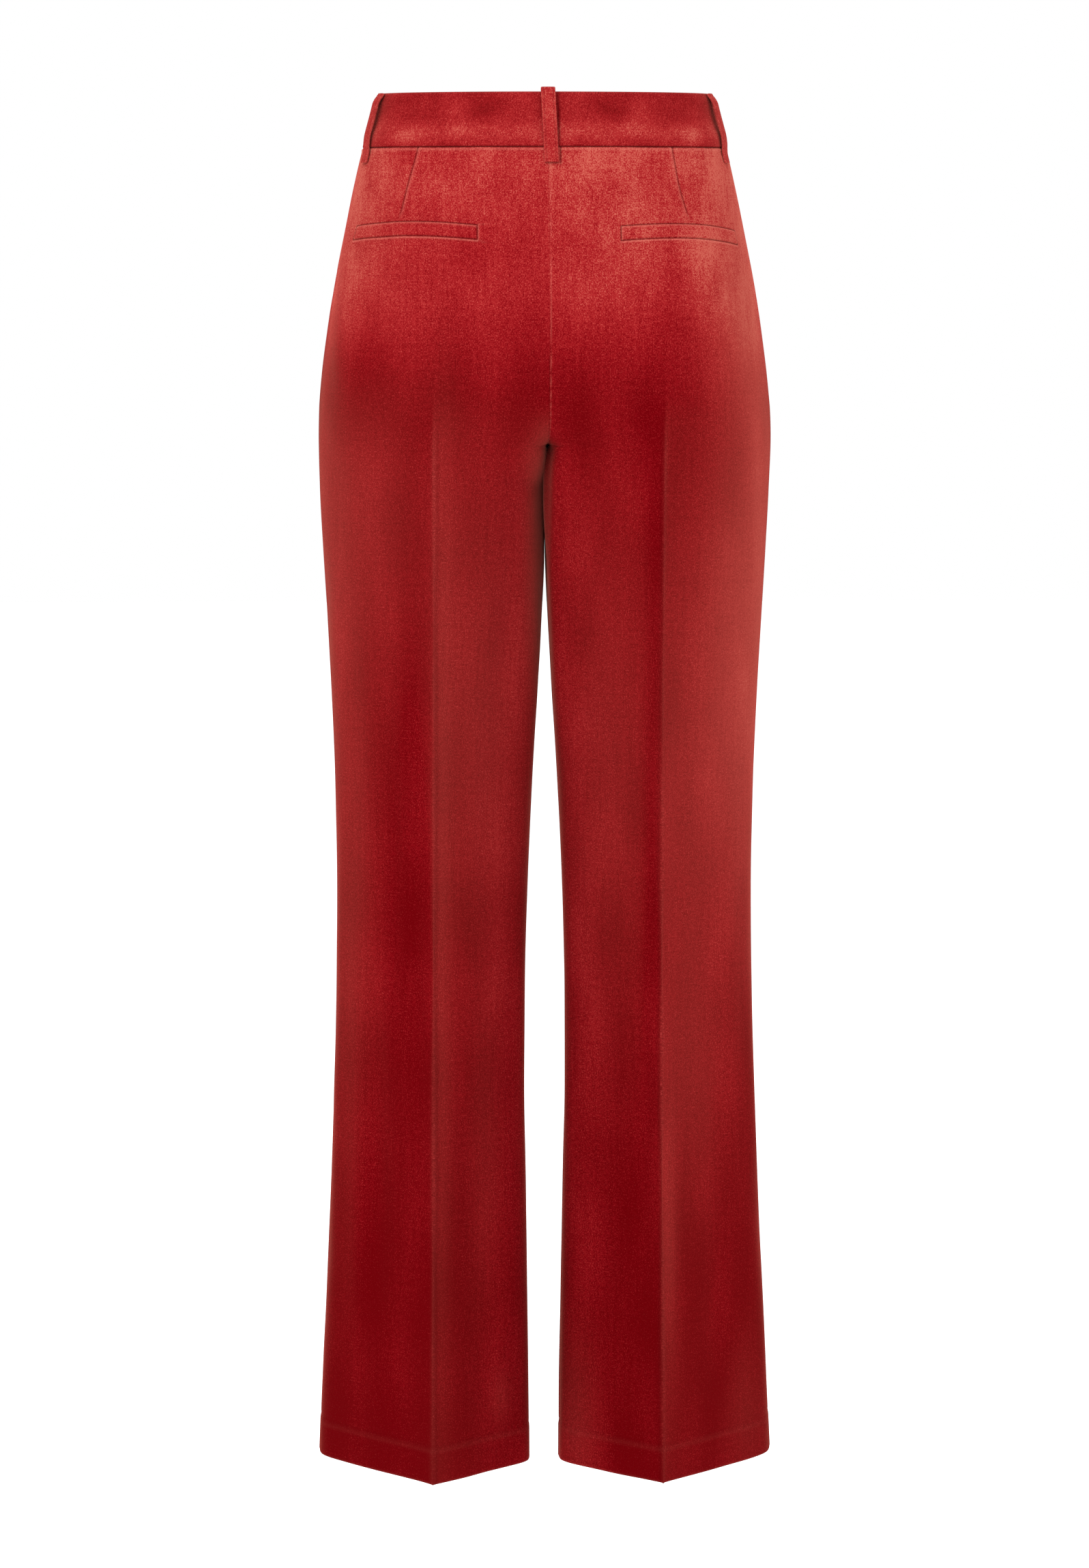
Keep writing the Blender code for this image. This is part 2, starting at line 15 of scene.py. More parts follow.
import bpy
import numpy as np
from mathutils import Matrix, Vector


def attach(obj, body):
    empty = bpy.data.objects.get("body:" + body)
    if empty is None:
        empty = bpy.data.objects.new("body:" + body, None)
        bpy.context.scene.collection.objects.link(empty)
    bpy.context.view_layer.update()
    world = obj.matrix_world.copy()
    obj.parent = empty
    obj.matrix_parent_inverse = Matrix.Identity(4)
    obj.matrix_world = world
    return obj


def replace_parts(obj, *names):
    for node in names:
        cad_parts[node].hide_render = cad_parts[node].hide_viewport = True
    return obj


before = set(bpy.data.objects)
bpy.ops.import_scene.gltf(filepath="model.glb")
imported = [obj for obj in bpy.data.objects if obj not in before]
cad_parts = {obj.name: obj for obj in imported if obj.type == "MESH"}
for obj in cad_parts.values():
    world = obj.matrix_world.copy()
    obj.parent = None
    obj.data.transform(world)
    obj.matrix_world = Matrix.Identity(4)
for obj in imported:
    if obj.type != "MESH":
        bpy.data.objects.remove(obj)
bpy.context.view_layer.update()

# %% [markdown]
# ## The camera
#
# The trousers are seen from the seat side, with the lens almost level with the hips. A long lens
# far away keeps the two hems nearly the same size as the waist, as in a shop's picture. We place
# it on a circle around a target halfway down the legs, then turn it to look there.

# %% Place the camera
TARGET = np.array([0.0, 0.0, -0.520])
LENS_ABOVE, LENS_TURNED = math.radians(5.6), math.radians(1.8)
LENS_DISTANCE = 4.5 / math.cos(LENS_ABOVE)
LENS_MM, SENSOR_MM = 131.45, 36.0


def around(target, distance, turned, above):
    """A place at a distance from the target: turned from the seat side, +Y, towards +X, and
    above the level plane. Sine and cosine of the two angles share the distance out."""
    level = distance * math.cos(above)
    step = (level * math.sin(turned), level * math.cos(turned), distance * math.sin(above))
    return target + np.array(step)


def look(thing, place, target):
    """Puts a camera or a lamp at a place, with its -Z axis towards the target."""
    thing.location = place
    thing.rotation_euler = Vector(target - place).to_track_quat("-Z", "Y").to_euler()


def placed(name, data):
    """A new object in the scene for this camera, lamp or mesh."""
    made = bpy.data.objects.new(name, data)
    bpy.context.scene.collection.objects.link(made)
    return made


lens = bpy.data.cameras.new("camera")
lens.lens, lens.sensor_width = LENS_MM, SENSOR_MM
camera = placed("camera", lens)
look(camera, around(TARGET, LENS_DISTANCE, LENS_TURNED, LENS_ABOVE), TARGET)
bpy.context.scene.camera = camera
print("camera at", [round(value, 3) for value in camera.location])

# %% [markdown]
# ## The studio
#
# The ground is plain and almost white, so the red stands alone. The floor lies well below the
# hems, because the trousers hang. Velvet shows its folds by its pile, which lights up where light
# grazes it. So a lamp above the seat warms the hips, one at the picture's left rakes across the
# seams and welts, a weak one fills from the right, and the last stands at the wearer's front.

# %% Floor, lamps and the light from all round
FLOOR_Z, FLOOR_HALF = -1.30, 14.0
FLOOR_PAINT = {
    "Base Color": (0.93, 0.93, 0.93, 1), "Roughness": 0.9, "Specular IOR Level": 0.1,
    "Emission Color": (1, 1, 1, 1), "Emission Strength": 0.30,
}
# Name, place, the height that it looks at, its two sizes and its power
LAMPS = (
    ("lamp_above", (0.5, 2.0, 1.5), -0.12, (1.6, 1.0), 36),
    ("lamp_left", (2.6, 0.9, 0.6), -0.30, (0.8, 1.4), 6.5),
    ("lamp_right", (-2.7, 0.2, 0.0), -0.45, (0.9, 1.8), 10),
    ("lamp_front", (0.4, -3.0, 1.4), -0.4, (2.2, 2.0), 30),
)


def lamp(name, place, level, size, power):
    """A soft rectangular lamp, turned to the middle of the trousers at this level."""
    light = bpy.data.lights.new(name, "AREA")
    light.shape = "RECTANGLE"
    light.size, light.size_y = size
    light.energy = power
    look(placed(name, light), np.array(place), np.array([0, 0, level]))


def flat_floor():
    """One square face at the floor's height."""
    mesh = bpy.data.meshes.new("floor")
    corners = np.array([(-1, -1), (1, -1), (1, 1), (-1, 1)]) * FLOOR_HALF
    mesh.from_pydata([(*corner, FLOOR_Z) for corner in corners.tolist()], [], [(0, 1, 2, 3)])
    paint = bpy.data.materials.new("floor")
    paint.use_nodes = True
    for key, value in FLOOR_PAINT.items():
        paint.node_tree.nodes["Principled BSDF"].inputs[key].default_value = value
    mesh.materials.append(paint)
    return placed("floor", mesh)


flat_floor()
for row in LAMPS:
    lamp(*row)
world = bpy.data.worlds.new("studio")
world.use_nodes = True
world.node_tree.nodes["Background"].inputs["Color"].default_value = (1, 1, 1, 1)
world.node_tree.nodes["Background"].inputs["Strength"].default_value = 1.0
bpy.context.scene.world = world
bpy.context.scene.view_settings.view_transform = "Standard"
print("floor at", FLOOR_Z)

# %% [markdown]
# ## One leg as a tube
#
# A trouser leg is a tube whose level section changes on its way down: round at the waist, pulled
# in at the knee, and folded along its two creases below the hips. A short table gives the section
# at each height, and a smooth curve through its rows gives every height between them. These are
# the same rows as the solids have, so the cloth lies where the solids are.

# %% The table of level sections
BACK, FRONT = 1, -1
LEFT, RIGHT = 1, -1
SIDES = ((LEFT, "left"), (RIGHT, "right"))
GAP = 0.000002
WALL = 0.0015
BAND_TOP, BAND_SEAM = 0.021, -0.021
CROTCH = -0.2495
HEM, HEM_DEPTH = -1.057, 0.030
HEM_FOLD = HEM + HEM_DEPTH
HEM_DIP, HEM_DIP_FROM = 0.06, -0.60
RISE_SPREAD = 1.2
CREASE_X = 0.0885

# side and inner are the tube's outermost and innermost x, ridge is the x where it is deepest,
# back and front are its depths there, and the seam columns are the y of its two sides. A corner
# of 1 makes it round and a small one creased, and a pull says how close it keeps to the corner.
# The heights come first, and all but the last four columns are in millimetres.
SECTION_COLUMNS = (
    "side", "inner", "ridge", "back", "front", "side_seam", "inner_seam",
    "side_corner", "side_pull", "inner_corner", "inner_pull",
)
SECTION_ROWS = (
    (    21, 129.5,  0.3,    0,    96,  -98.5,   0,  0, 1.00, 0.74, 1.00, 1.00),
    (     0,   135,  0.3,    0, 100.5, -100.5,   0,  0, 1.00, 0.74, 1.00, 1.00),
    (   -21, 141.5,  0.3,    0, 105.2, -102.5,   0,  0, 1.00, 0.75, 1.00, 1.00),
    (   -52, 148.9,  0.3,    3, 112.2,   -105,   0,  0, 1.00, 0.76, 1.00, 1.00),
    (   -92, 157.2,  0.3,   15, 120.6, -107.2,   0,  0, 1.00, 0.77, 1.00, 1.05),
    (  -130, 164.7,  0.3,   37, 126.7, -108.2,   0,  1, 1.00, 0.78, 1.00, 1.15),
    (  -165,   170,  0.3,   61, 130.2, -108.2,   0,  2, 1.00, 0.79, 1.00, 1.30),
    (  -198, 174.1,  0.3,   78, 131.2, -107.7,   0,  3, 0.98, 0.81, 0.98, 1.50),
    (  -225, 176.2,  0.3, 85.5, 129.8, -106.8,   0,  5, 0.94, 0.84, 0.95, 1.65),
    (-249.5, 176.7,  0.3, 88.2, 126.6, -105.3,   0,  6, 0.88, 0.90, 0.92, 1.75),
    (  -285, 175.9,  0.3, 88.5, 120.6, -102.6,   0,  6, 0.76, 1.02, 0.84, 1.85),
    (  -333, 173.6,  0.4, 88.5,   112,  -98.4,   0,  6, 0.62, 1.22, 0.68, 1.90),
    (  -386, 170.6,  2.4, 88.5, 103.6,  -93.8,  -1,  6, 0.50, 1.52, 0.52, 2.00),
    (  -440, 167.8,  5.4, 88.5,  96.3,  -89.3,  -3,  6, 0.42, 1.85, 0.40, 2.10),
    (  -521, 164.8, 10.4, 88.6,  87.6,  -83.8,  -6,  6, 0.35, 2.25, 0.31, 2.35),
    (  -600, 163.7, 13.8, 88.7,    82,  -81.2,  -8,  6, 0.31, 2.60, 0.26, 2.60),
    (  -680, 164.5, 15.8, 88.9,  79.8,  -81.5, -10,  7, 0.29, 2.90, 0.23, 2.90),
    (  -760, 166.5, 16.3, 89.1,    80,    -84, -12,  8, 0.28, 3.20, 0.22, 3.20),
    (  -840, 169.3, 15.2, 89.4,  81.8,  -87.6, -15,  9, 0.27, 3.40, 0.21, 3.40),
    (  -920, 172.7, 14.2, 89.8,  84.6,    -92, -17, 10, 0.26, 3.60, 0.20, 3.60),
    (  -990, 176.2, 13.3, 90.1,  87.5,  -96.5, -20, 11, 0.25, 3.80, 0.19, 3.80),
    ( -1057, 179.2, 12.8, 90.3,  90.5,   -101, -22, 12, 0.25, 4.00, 0.18, 4.00),
)
table = np.array(SECTION_ROWS)[::-1] / (8 * [1000] + 4 * [1])


def curve_slopes(places, values):
    """Slopes of a smooth curve through rows of values: at each row the harmonic mean of the steps
    before and after it, none where they turn, and the step itself at the two ends."""
    steps = np.diff(values, axis=0) / np.diff(places)[:, None]
    before, after = steps[:-1], steps[1:]
    turns = before * after <= 0
    mean = 2 * before * after / np.where(turns, 1.0, before + after)
    return np.vstack([steps[:1], np.where(turns, 0.0, mean), steps[-1:]])


def curve_through(places, values, wanted):
    """Values at the wanted places: between two rows, the cubic that has their values and their
    slopes at its two ends."""
    slopes = curve_slopes(places, values)
    wanted = np.clip(wanted, places[0], places[-1])
    low = np.clip(np.searchsorted(places, wanted, side="right") - 1, 0, len(places) - 2)
    width = (places[low + 1] - places[low])[:, None]
    t = (wanted - places[low])[:, None] / width
    return (
        (2 * t**3 - 3 * t**2 + 1) * values[low]
        + (3 * t**2 - 2 * t**3) * values[low + 1]
        + (t**3 - 2 * t**2 + t) * width * slopes[low]
        + (t**3 - t**2) * width * slopes[low + 1]
    )


def section_at(z):
    """The table's columns at these heights. Above the crotch the tube reaches 1.2 times the rise
    further past the middle, which draws the crotch curve where it meets the middle plane."""
    found = dict(zip(SECTION_COLUMNS, curve_through(table[:, 0], table[:, 1:], z).T))
    found["inner"] = found["inner"] - RISE_SPREAD * np.maximum(0, z - CROTCH)
    return found


print("sections at", len(SECTION_ROWS), "heights")

# %% [markdown]
# ## Points on the tube
#
# At one height, the back or front half of the tube is two arcs that meet at the crease. Each is a
# conic: a curve between two ends that leans towards a corner point, and leans harder the larger
# its pull is. That one family gives the round hip and the sharp crease, so the leg can change
# from one to the other without a joint. We then walk along it by its true length, because cloth
# is measured along its surface.

# %% From a height and a length along the cloth to a point in space
ARC_POINTS = 160
CORNER_X = 0.010
TINY = 1e-12


def conic(start, corner, end, pull):
    """Rows of points at t from 0 to 1: start, corner and end weighted by (1-t)^2, 2 pull t (1-t)
    and t^2, over the sum of the three weights."""
    t = np.linspace(0, 1, ARC_POINTS)[None]
    weights = ((1 - t) ** 2, 2 * pull[:, None] * (t * (1 - t)), t**2)
    parts = zip(weights, (start, corner, end))
    return sum(w[..., None] * place[:, None] for w, place in parts) / sum(weights)[..., None]


def look_up(wanted, known, values):
    """Straight interpolation row by row. Each row's scale is shifted by 10 times its number, so
    that one call reads all the rows."""
    shift = 10.0 * np.arange(len(known))[:, None]
    wanted = np.clip(wanted, known[:, :1], known[:, -1:])
    found = np.interp((wanted + shift).ravel(), (known + shift).ravel(), values.ravel())
    return found.reshape(wanted.shape)


def level_lines(z, half, tighter=0.0):
    """For each height, x and y along the back or front half from the side seam to the inseam, the
    length along it, and the length where the cloth ends: at the middle plane or the inseam. The
    inner edge's pull is 1 + tighter times the table's."""
    s = section_at(z)
    depth = s["back"] if half == BACK else s["front"]
    lines = []
    for edge, more in (("side", 0.0), ("inner", tighter)):
        x, y, corner, pull = (s[edge + part] for part in ("", "_seam", "_corner", "_pull"))
        places = ((s["ridge"], depth), (x, y + corner * (depth - y)), (x, y))
        lines.append(conic(*(np.column_stack(place) for place in places), pull * (1 + more)))
    line = np.concatenate([lines[0][:, ::-1], lines[1][:, 1:]], axis=1)
    steps = np.linalg.norm(np.diff(line, axis=1), axis=2)
    along = np.concatenate([np.zeros((len(z), 1)), np.cumsum(steps, axis=1)], axis=1)
    at_middle = look_up(np.full((len(z), 1), -GAP), -line[..., 0], along)[:, 0]
    end = np.where(s["inner"] < GAP, at_middle, along[:, -1] - GAP)
    return line[..., 0], line[..., 1], along, end


def on_tube(half, z, arcs):
    """Points at these heights and lengths from the side seam. Past the middle plane the line runs
    on mirrored. Towards the hem each point drops by a share of its depth, which makes the back
    of the hem longer than the front."""
    x, y, along, end = level_lines(z, half)
    over = (arcs > end[:, None]) & (z > CROTCH)[:, None]
    kept = np.where(over, 2 * end[:, None] - arcs, arcs)
    found_x = look_up(kept, along, x) * np.where(over, -1, 1)
    found_y = look_up(kept, along, y)
    dip = HEM_DIP * np.clip((HEM_DIP_FROM - z) / (HEM_DIP_FROM - HEM), 0, 1)
    return np.stack([found_x, found_y, z[:, None] - dip[:, None] * found_y], axis=-1)


def arc_at_x(half, z, x, tighter=0.0):
    """Length from the side seam to where the tube has this x."""
    line_x, _, along, _ = level_lines(z, half, tighter)
    return look_up(-np.broadcast_to(x, z.shape)[:, None], -line_x, along)[:, 0]


def crease_arc(half, z):
    """Length from the side seam to the crease, or to where the tube is deepest above it."""
    return arc_at_x(half, z, np.maximum(CREASE_X, section_at(z)["ridge"]))


def corner_arc(half, z, before=CORNER_X, tighter=0.0):
    """Length from the side seam to a little before the inner edge."""
    return arc_at_x(half, z, np.maximum(section_at(z)["inner"], 0) + before, tighter)


def tightened(points, half, z, arcs, tighter):
    """The same points with the tighter inner edge. The crease, the corner and the end keep their
    places in a row, and the lengths between them are stretched evenly."""
    x, y, along, tight_end = level_lines(z, half, tighter)
    ridge = arc_at_x(half, z, section_at(z)["ridge"])
    stops = np.stack([ridge, corner_arc(half, z), level_lines(z, half)[3]], axis=1)
    tight = np.stack([ridge, corner_arc(half, z, tighter=tighter), tight_end], axis=1)
    wanted = look_up(arcs, stops, tight)
    found = [look_up(wanted, along, line) for line in (x, y)]
    moved = np.stack([*found, points[..., 2]], axis=-1)
    changed = (arcs > ridge[:, None]) & (tighter > 0)[:, None]
    return np.where(changed[..., None], moved, points)


def unit(steps):
    """The same directions with a length of 1."""
    return steps / np.maximum(np.linalg.norm(steps, axis=-1, keepdims=True), TINY)


def outward(points, half):
    """Unit normals of a grid whose rows run down and whose columns run to the middle: the cross
    product of the steps across and up, turned out of the body."""
    return unit(half * np.cross(np.gradient(points, axis=1), -np.gradient(points, axis=0)))


test_z = np.array([0.0, -0.2, -0.6, HEM])
rounds = sum(level_lines(test_z, half)[3] for half in (BACK, FRONT))
print("half way round, in mm:", np.round(rounds * 1000))

# %% [markdown]
# ## A wall of cloth
#
# Real cloth has two faces and an edge. A wall between an outer and an inner grid of the same size
# gives all three in one closed mesh, so nothing is paper-thin at the hem or the waist. Each point
# also keeps where it lies on the flat cloth, in metres, so that the pile of the velvet runs down
# every panel, as it does when all the pieces are cut the same way up.

# %% Make a closed wall between two grids
SHARP_EDGE = math.radians(72)


def closed_wall(name, side, outer, inner, flat, marks, behind):
    """Faces of the outer grid, of the inner one turned round, and a rim between their edges, all
    mirrored for the right side. If the volume inside comes out negative, all the faces are
    turned. flat is each point's place on the cloth, moved by a wall's thickness on the inner
    grid, marks are named values for the material, and behind is the inner grid's cloth."""
    rows, columns = outer.shape[:2]
    count = rows * columns
    index = np.arange(count).reshape(rows, columns)
    corners = (index[:-1, :-1], index[:-1, 1:], index[1:, 1:], index[1:, :-1])
    face = np.stack(corners, axis=-1).reshape(-1, 4)
    edge = np.concatenate([index[0, :-1], index[:-1, -1], index[-1, :0:-1], index[:0:-1, 0]])
    after = np.roll(edge, -1)
    rim = np.stack([after, edge, edge + count, after + count], axis=-1)
    faces = np.concatenate([face, face[:, ::-1] + count, rim])
    points = np.concatenate([outer.reshape(-1, 3), inner.reshape(-1, 3)]) * (side, 1, 1)
    p, q, r, s = (points[faces[:, k]] for k in range(4))
    if np.sum(p * (np.cross(q, r) + np.cross(r, s))) < 0:
        faces = faces[:, ::-1]
    mesh = bpy.data.meshes.new(name)
    mesh.from_pydata(points.tolist(), [], faces.tolist())
    corner_points = np.empty(len(mesh.loops), dtype=np.int32)
    mesh.loops.foreach_get("vertex_index", corner_points)
    places = np.concatenate([flat.reshape(-1, 2), flat.reshape(-1, 2) + WALL])
    mesh.uv_layers.new(name="cloth").data.foreach_set("uv", places[corner_points].ravel())
    for key, values in marks.items():
        both = np.tile(np.broadcast_to(values, (rows, columns)).reshape(-1), 2)
        mesh.attributes.new(key, "FLOAT", "POINT").data.foreach_set("value", both)
    mesh.materials.append(velvet)
    mesh.materials.append(behind)
    which = np.zeros(len(faces), dtype=np.int32)
    which[len(face):2 * len(face)] = 1
    mesh.polygons.foreach_set("material_index", which)
    mesh.shade_smooth()
    mesh.set_sharp_from_angle(angle=SHARP_EDGE)
    made = placed(name, mesh)
    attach(made, "root")
    halves = ((q - p, r - p), (r - p, s - p))
    area = sum(np.linalg.norm(np.cross(*pair), axis=1).sum() for pair in halves) / 4
    print(f"{name}: {2 * len(faces)} triangles, {area:.4f} m2 of cloth")
    return made


# %% [markdown]
# ## Velvet
#
# Velvet is a woven ground with a short, dense pile. Seen along the pile it is deep and saturated,
# and where light grazes the tips it turns pale and warm. A sheen lobe in the shader does part of
# that, with hardly any gloss, and painted sheen in patches and on one side of each crease does the
# rest. The pile itself shows as fine specks drawn out down the cloth, with faint upright streaks
# from the ground weave, and in wider patches it is brushed another way. Painted light and shade by
# height, painted highlights on pressed and rolled edges, and painted shade in grooves and gaps
# come as values on the mesh too, so that they lie on the folds that they belong to.

# %% A helper that writes down a cloth's material
class ClothRecipe:
    """A new material. Each call adds a node and gives back its output, and whatever goes into a
    node is a number, a colour or another node's output."""

    def __init__(self, name):
        self.made = bpy.data.materials.new(name)
        self.made.use_nodes = True
        self.tree = self.made.node_tree
        self.place = self.add("UVMap", {}, uv_map="cloth")["UV"]

    def feed(self, node, inputs):
        """Sets or joins inputs, which are found by name or number."""
        for key, value in inputs.items():
            if isinstance(value, bpy.types.NodeSocket):
                self.tree.links.new(value, node.inputs[key])
            else:
                node.inputs[key].default_value = value

    def add(self, kind, inputs, **settings):
        """A node of this kind with its settings and inputs."""
        made = self.tree.nodes.new("ShaderNode" + kind)
        for key, value in settings.items():
            setattr(made, key, value)
        self.feed(made, inputs)
        return made.outputs

    def mark(self, name):
        """A named value that the mesh carries."""
        return self.add("Attribute", {}, attribute_name=name)["Fac"]

    def noise(self, wide, tall, detail, roughness):
        """Noise on the flat cloth with grains this wide and tall, in metres."""
        place = self.add("Mapping", {"Vector": self.place, "Scale": (1 / wide, 1 / tall, 1)})[0]
        grain = {"Vector": place, "Scale": 1.0, "Detail": detail, "Roughness": roughness}
        return self.add("TexNoise", grain, noise_dimensions="2D")[0]

    def threads(self, direction, scale, distortion):
        """Even waves across the flat cloth, as its threads lie."""
        wave = {"Vector": self.place, "Scale": scale, "Distortion": distortion}
        return self.add("TexWave", wave, wave_type="BANDS", bands_direction=direction)["Fac"]

    def times(self, value, factor, more=None):
        """The value times the factor, plus more where that is given."""
        if more is None:
            return self.add("Math", {0: value, 1: factor}, operation="MULTIPLY")[0]
        return self.add("Math", {0: value, 1: factor, 2: more}, operation="MULTIPLY_ADD")[0]

    def plus(self, value, more):
        """The sum of two values."""
        return self.add("Math", {0: value, 1: more}, operation="ADD")[0]

    def ranged(self, value, low, high, to_low=0.0, to_high=1.0):
        """A value moved from one range to another, held at its ends."""
        return self.add("MapRange", dict(enumerate((value, low, high, to_low, to_high))))[0]

    def mix(self, factor, first, second):
        """Two colours mixed by a value from 0 to 1."""
        return self.add("Mix", {0: factor, 6: first, 7: second}, data_type="RGBA")[2]

    def ramp(self, value, stops):
        """A value turned into a colour through stops, each a place from 0 to 1 and its colour."""
        made = self.tree.nodes.new("ShaderNodeValToRGB")
        self.feed(made, {0: value})
        points = made.color_ramp.elements
        for place, _ in stops[1:-1]:
            points.new(place)
        for point, (place, colour) in zip(points, stops):
            point.position, point.color = place, colour
        return made.outputs[0]

    def finish(self, red, roughness, height, bump, gloss):
        """Feeds the shader. bump is the strength and depth that go with the height, and gloss the
        shader's own numbers."""
        normal = self.add("Bump", {"Height": height, **bump})["Normal"]
        inputs = {"Base Color": red, "Roughness": roughness, "Normal": normal, **gloss}
        self.feed(self.tree.nodes["Principled BSDF"], inputs)
        return self.made


# %% The velvet and its plain wrong side
# How far the pile leans, with painted light and shade added in, and the red that it shows there
PILE_REDS = (
    (0.00, (0.112, 0.0003, 0.0018, 1)),
    (0.30, (0.205, 0.0034, 0.0064, 1)),
    (0.62, (0.320, 0.0165, 0.0182, 1)),
    (1.00, (0.450, 0.0880, 0.0640, 1)),
)
# Pale tips of the pile, also used for painted highlights; a pale hazy red for painted sheen; a
# dark red for painted shade
PALE_TIP_AND_HIGHLIGHT = (0.560, 0.150, 0.115, 1)
PAINTED_SHEEN_RED = (0.330, 0.0580, 0.0430, 1)
SHADED_RED = (0.040, 0.0005, 0.0010, 1)
GROUND_REDS = ((0.13, 0.004, 0.006, 1), (0.27, 0.014, 0.014, 1))
PILE_GLOSS = {
    "Specular IOR Level": 0.0, "Sheen Weight": 0.22, "Sheen Roughness": 0.34,
    "Sheen Tint": (1.0, 0.30, 0.22, 1),
}
GROUND_GLOSS = {"Specular IOR Level": 0.12, "Sheen Weight": 0.10}
PILE_BUMP = {"Strength": 0.45, "Distance": 0.0006}
GROUND_BUMP = {"Strength": 0.4, "Distance": 0.0003}


def velvet_cloth():
    """The brushed value, with its painted light and shade, soft clouds, the pile's specks and a
    faint diagonal weave add up to how far the pile leans, and a ramp turns that into a red.
    Painted sheen and painted highlights on pressed and rolled edges get paler tips, and sunk lines
    get painted shade. The bump follows the same specks."""
    cloth = ClothRecipe("red velvet")
    specks = cloth.noise(0.0010, 0.0012, 2.0, 0.7)
    pile = cloth.times(specks, 0.66)
    pile = cloth.times(cloth.noise(0.0032, 0.0040, 2.0, 0.6), 0.22, pile)
    pile = cloth.times(cloth.noise(0.0036, 0.0600, 1.0, 0.5), 0.08, pile)
    pile = cloth.times(cloth.noise(0.0500, 0.0026, 1.0, 0.5), 0.04, pile)
    clouds = cloth.noise(0.0240, 0.0340, 3.0, 0.55)
    brushed = cloth.mark("brushed")
    lean = cloth.times(cloth.plus(pile, -0.5), cloth.times(brushed, 1.7, 1.0), brushed)
    lean = cloth.times(cloth.plus(clouds, -0.5), cloth.times(brushed, brushed, 0.07), lean)
    lean = cloth.plus(lean, cloth.times(cloth.threads("DIAGONAL", 330.0, 1.2), 0.06, -0.03))
    tips = cloth.times(cloth.ranged(specks, 0.60, 0.78), cloth.ranged(lean, 0.1, 0.9, 0.04, 0.26))
    red = cloth.mix(tips, cloth.ramp(lean, PILE_REDS), PALE_TIP_AND_HIGHLIGHT)
    # Painted sheen, then painted highlights, each stronger on the raised specks
    for mark, least, colour in (("dusty", 0.70, PAINTED_SHEEN_RED), ("pressed", 0.45, PALE_TIP_AND_HIGHLIGHT)):
        share = cloth.times(cloth.mark(mark), cloth.ranged(pile, 0.30, 0.62, least, 1.0))
        red = cloth.mix(share, red, colour)
    # Painted shade in grooves, seams and gaps
    red = cloth.mix(cloth.mark("sunk"), red, SHADED_RED)
    roughness = cloth.ranged(pile, 0.3, 0.7, 0.95, 0.85)
    return cloth.finish(red, roughness, pile, PILE_BUMP, PILE_GLOSS)


def wrong_side_cloth():
    """The plain woven ground: crossed waves as threads, duller and a little darker."""
    cloth = ClothRecipe("velvet wrong side")
    weave = cloth.times(cloth.threads("X", 420.0, 0.6), cloth.threads("Y", 420.0, 0.6))
    worn = cloth.times(cloth.noise(0.030, 0.060, 2.0, 0.5), 0.5, cloth.times(weave, 0.5))
    red = cloth.mix(cloth.ranged(worn, 0.15, 0.75), *GROUND_REDS)
    roughness = cloth.ranged(weave, 0.0, 1.0, 0.95, 0.80)
    return cloth.finish(red, roughness, weave, GROUND_BUMP, GROUND_GLOSS)


velvet, wrong_side = velvet_cloth(), wrong_side_cloth()
print("materials:", velvet.name, "/", wrong_side.name)

# %% [markdown]
# ## Folds, creases and seams as heights
#
# Everything that breaks the smooth tube is a height above it: a crease is a narrow ridge, a seam
# a narrow groove with a soft roll beside it, and a fold a long low trough or ridge that fades out
# at both ends. Because they are all heights, they can be added together before the cloth is
# moved, and none of them can tear it.

# %% Heights of single lines and folds
def bell(distance, width):
    """1 on a line, falling off on both sides as exp(-(distance/width)^2)."""
    return np.exp(-((distance / width) ** 2))


def seam_height(distance):
    """A seam at the edge of a panel: a groove 0.9 mm deep, and a roll 0.35 mm high beside it."""
    return -0.0009 * bell(distance, 0.0011) + 0.00035 * bell(distance - 0.0042, 0.0026)


def fold_height(across, z, fold):
    """One fold along a line from its top to its bottom: its height, times a bell across it, times
    a half sine along it, which fades it at both ends. It sways a little on the way."""
    height, top, z_top, bottom, z_bottom, width = fold
    share = (z_top - z) / (z_top - z_bottom)
    middle = top + (bottom - top) * share + 0.0025 * np.sin(5.1 * share + 40 * top)
    share = np.clip(share, 0, 1)
    along = np.sin(np.pi * share) ** 0.8
    return height * bell(across - middle, width * (0.85 + 0.3 * share)) * along


def unevenness(u, v, seed, size, height):
    """Gentle waves in every direction: a sum of ten sines of seeded direction, size and phase,
    over the square root of their number."""
    random = np.random.default_rng(seed)
    total = np.zeros(np.broadcast(u, v).shape)
    for turn, stretch, phase in random.random((10, 3)):
        angle, wave = turn * 2 * np.pi, 2 * np.pi / (size * (0.7 + 0.9 * stretch))
        along = u * math.cos(angle) + 0.45 * v * math.sin(angle)
        total = total + np.sin(along * wave + phase * 2 * np.pi)
    return height * total / math.sqrt(10)


def fade(value, start, end):
    """0 before start, 1 after end, and a smooth step 3t^2 - 2t^3 between them."""
    t = np.clip((value - start) / (end - start), 0, 1)
    return t * t * (3 - 2 * t)


# %% [markdown]
# ## The folds of each panel
#
# The picture shows long upright folds in the outer third of each leg, a few shallow ones beside
# the creases, and small drag lines near the darts. Each has a row of its own here, uneven in
# length, depth and spacing. The fronts are hidden, so they get folds of the same kind: a few drag
# lines at the crotch and upright ones below the knee.

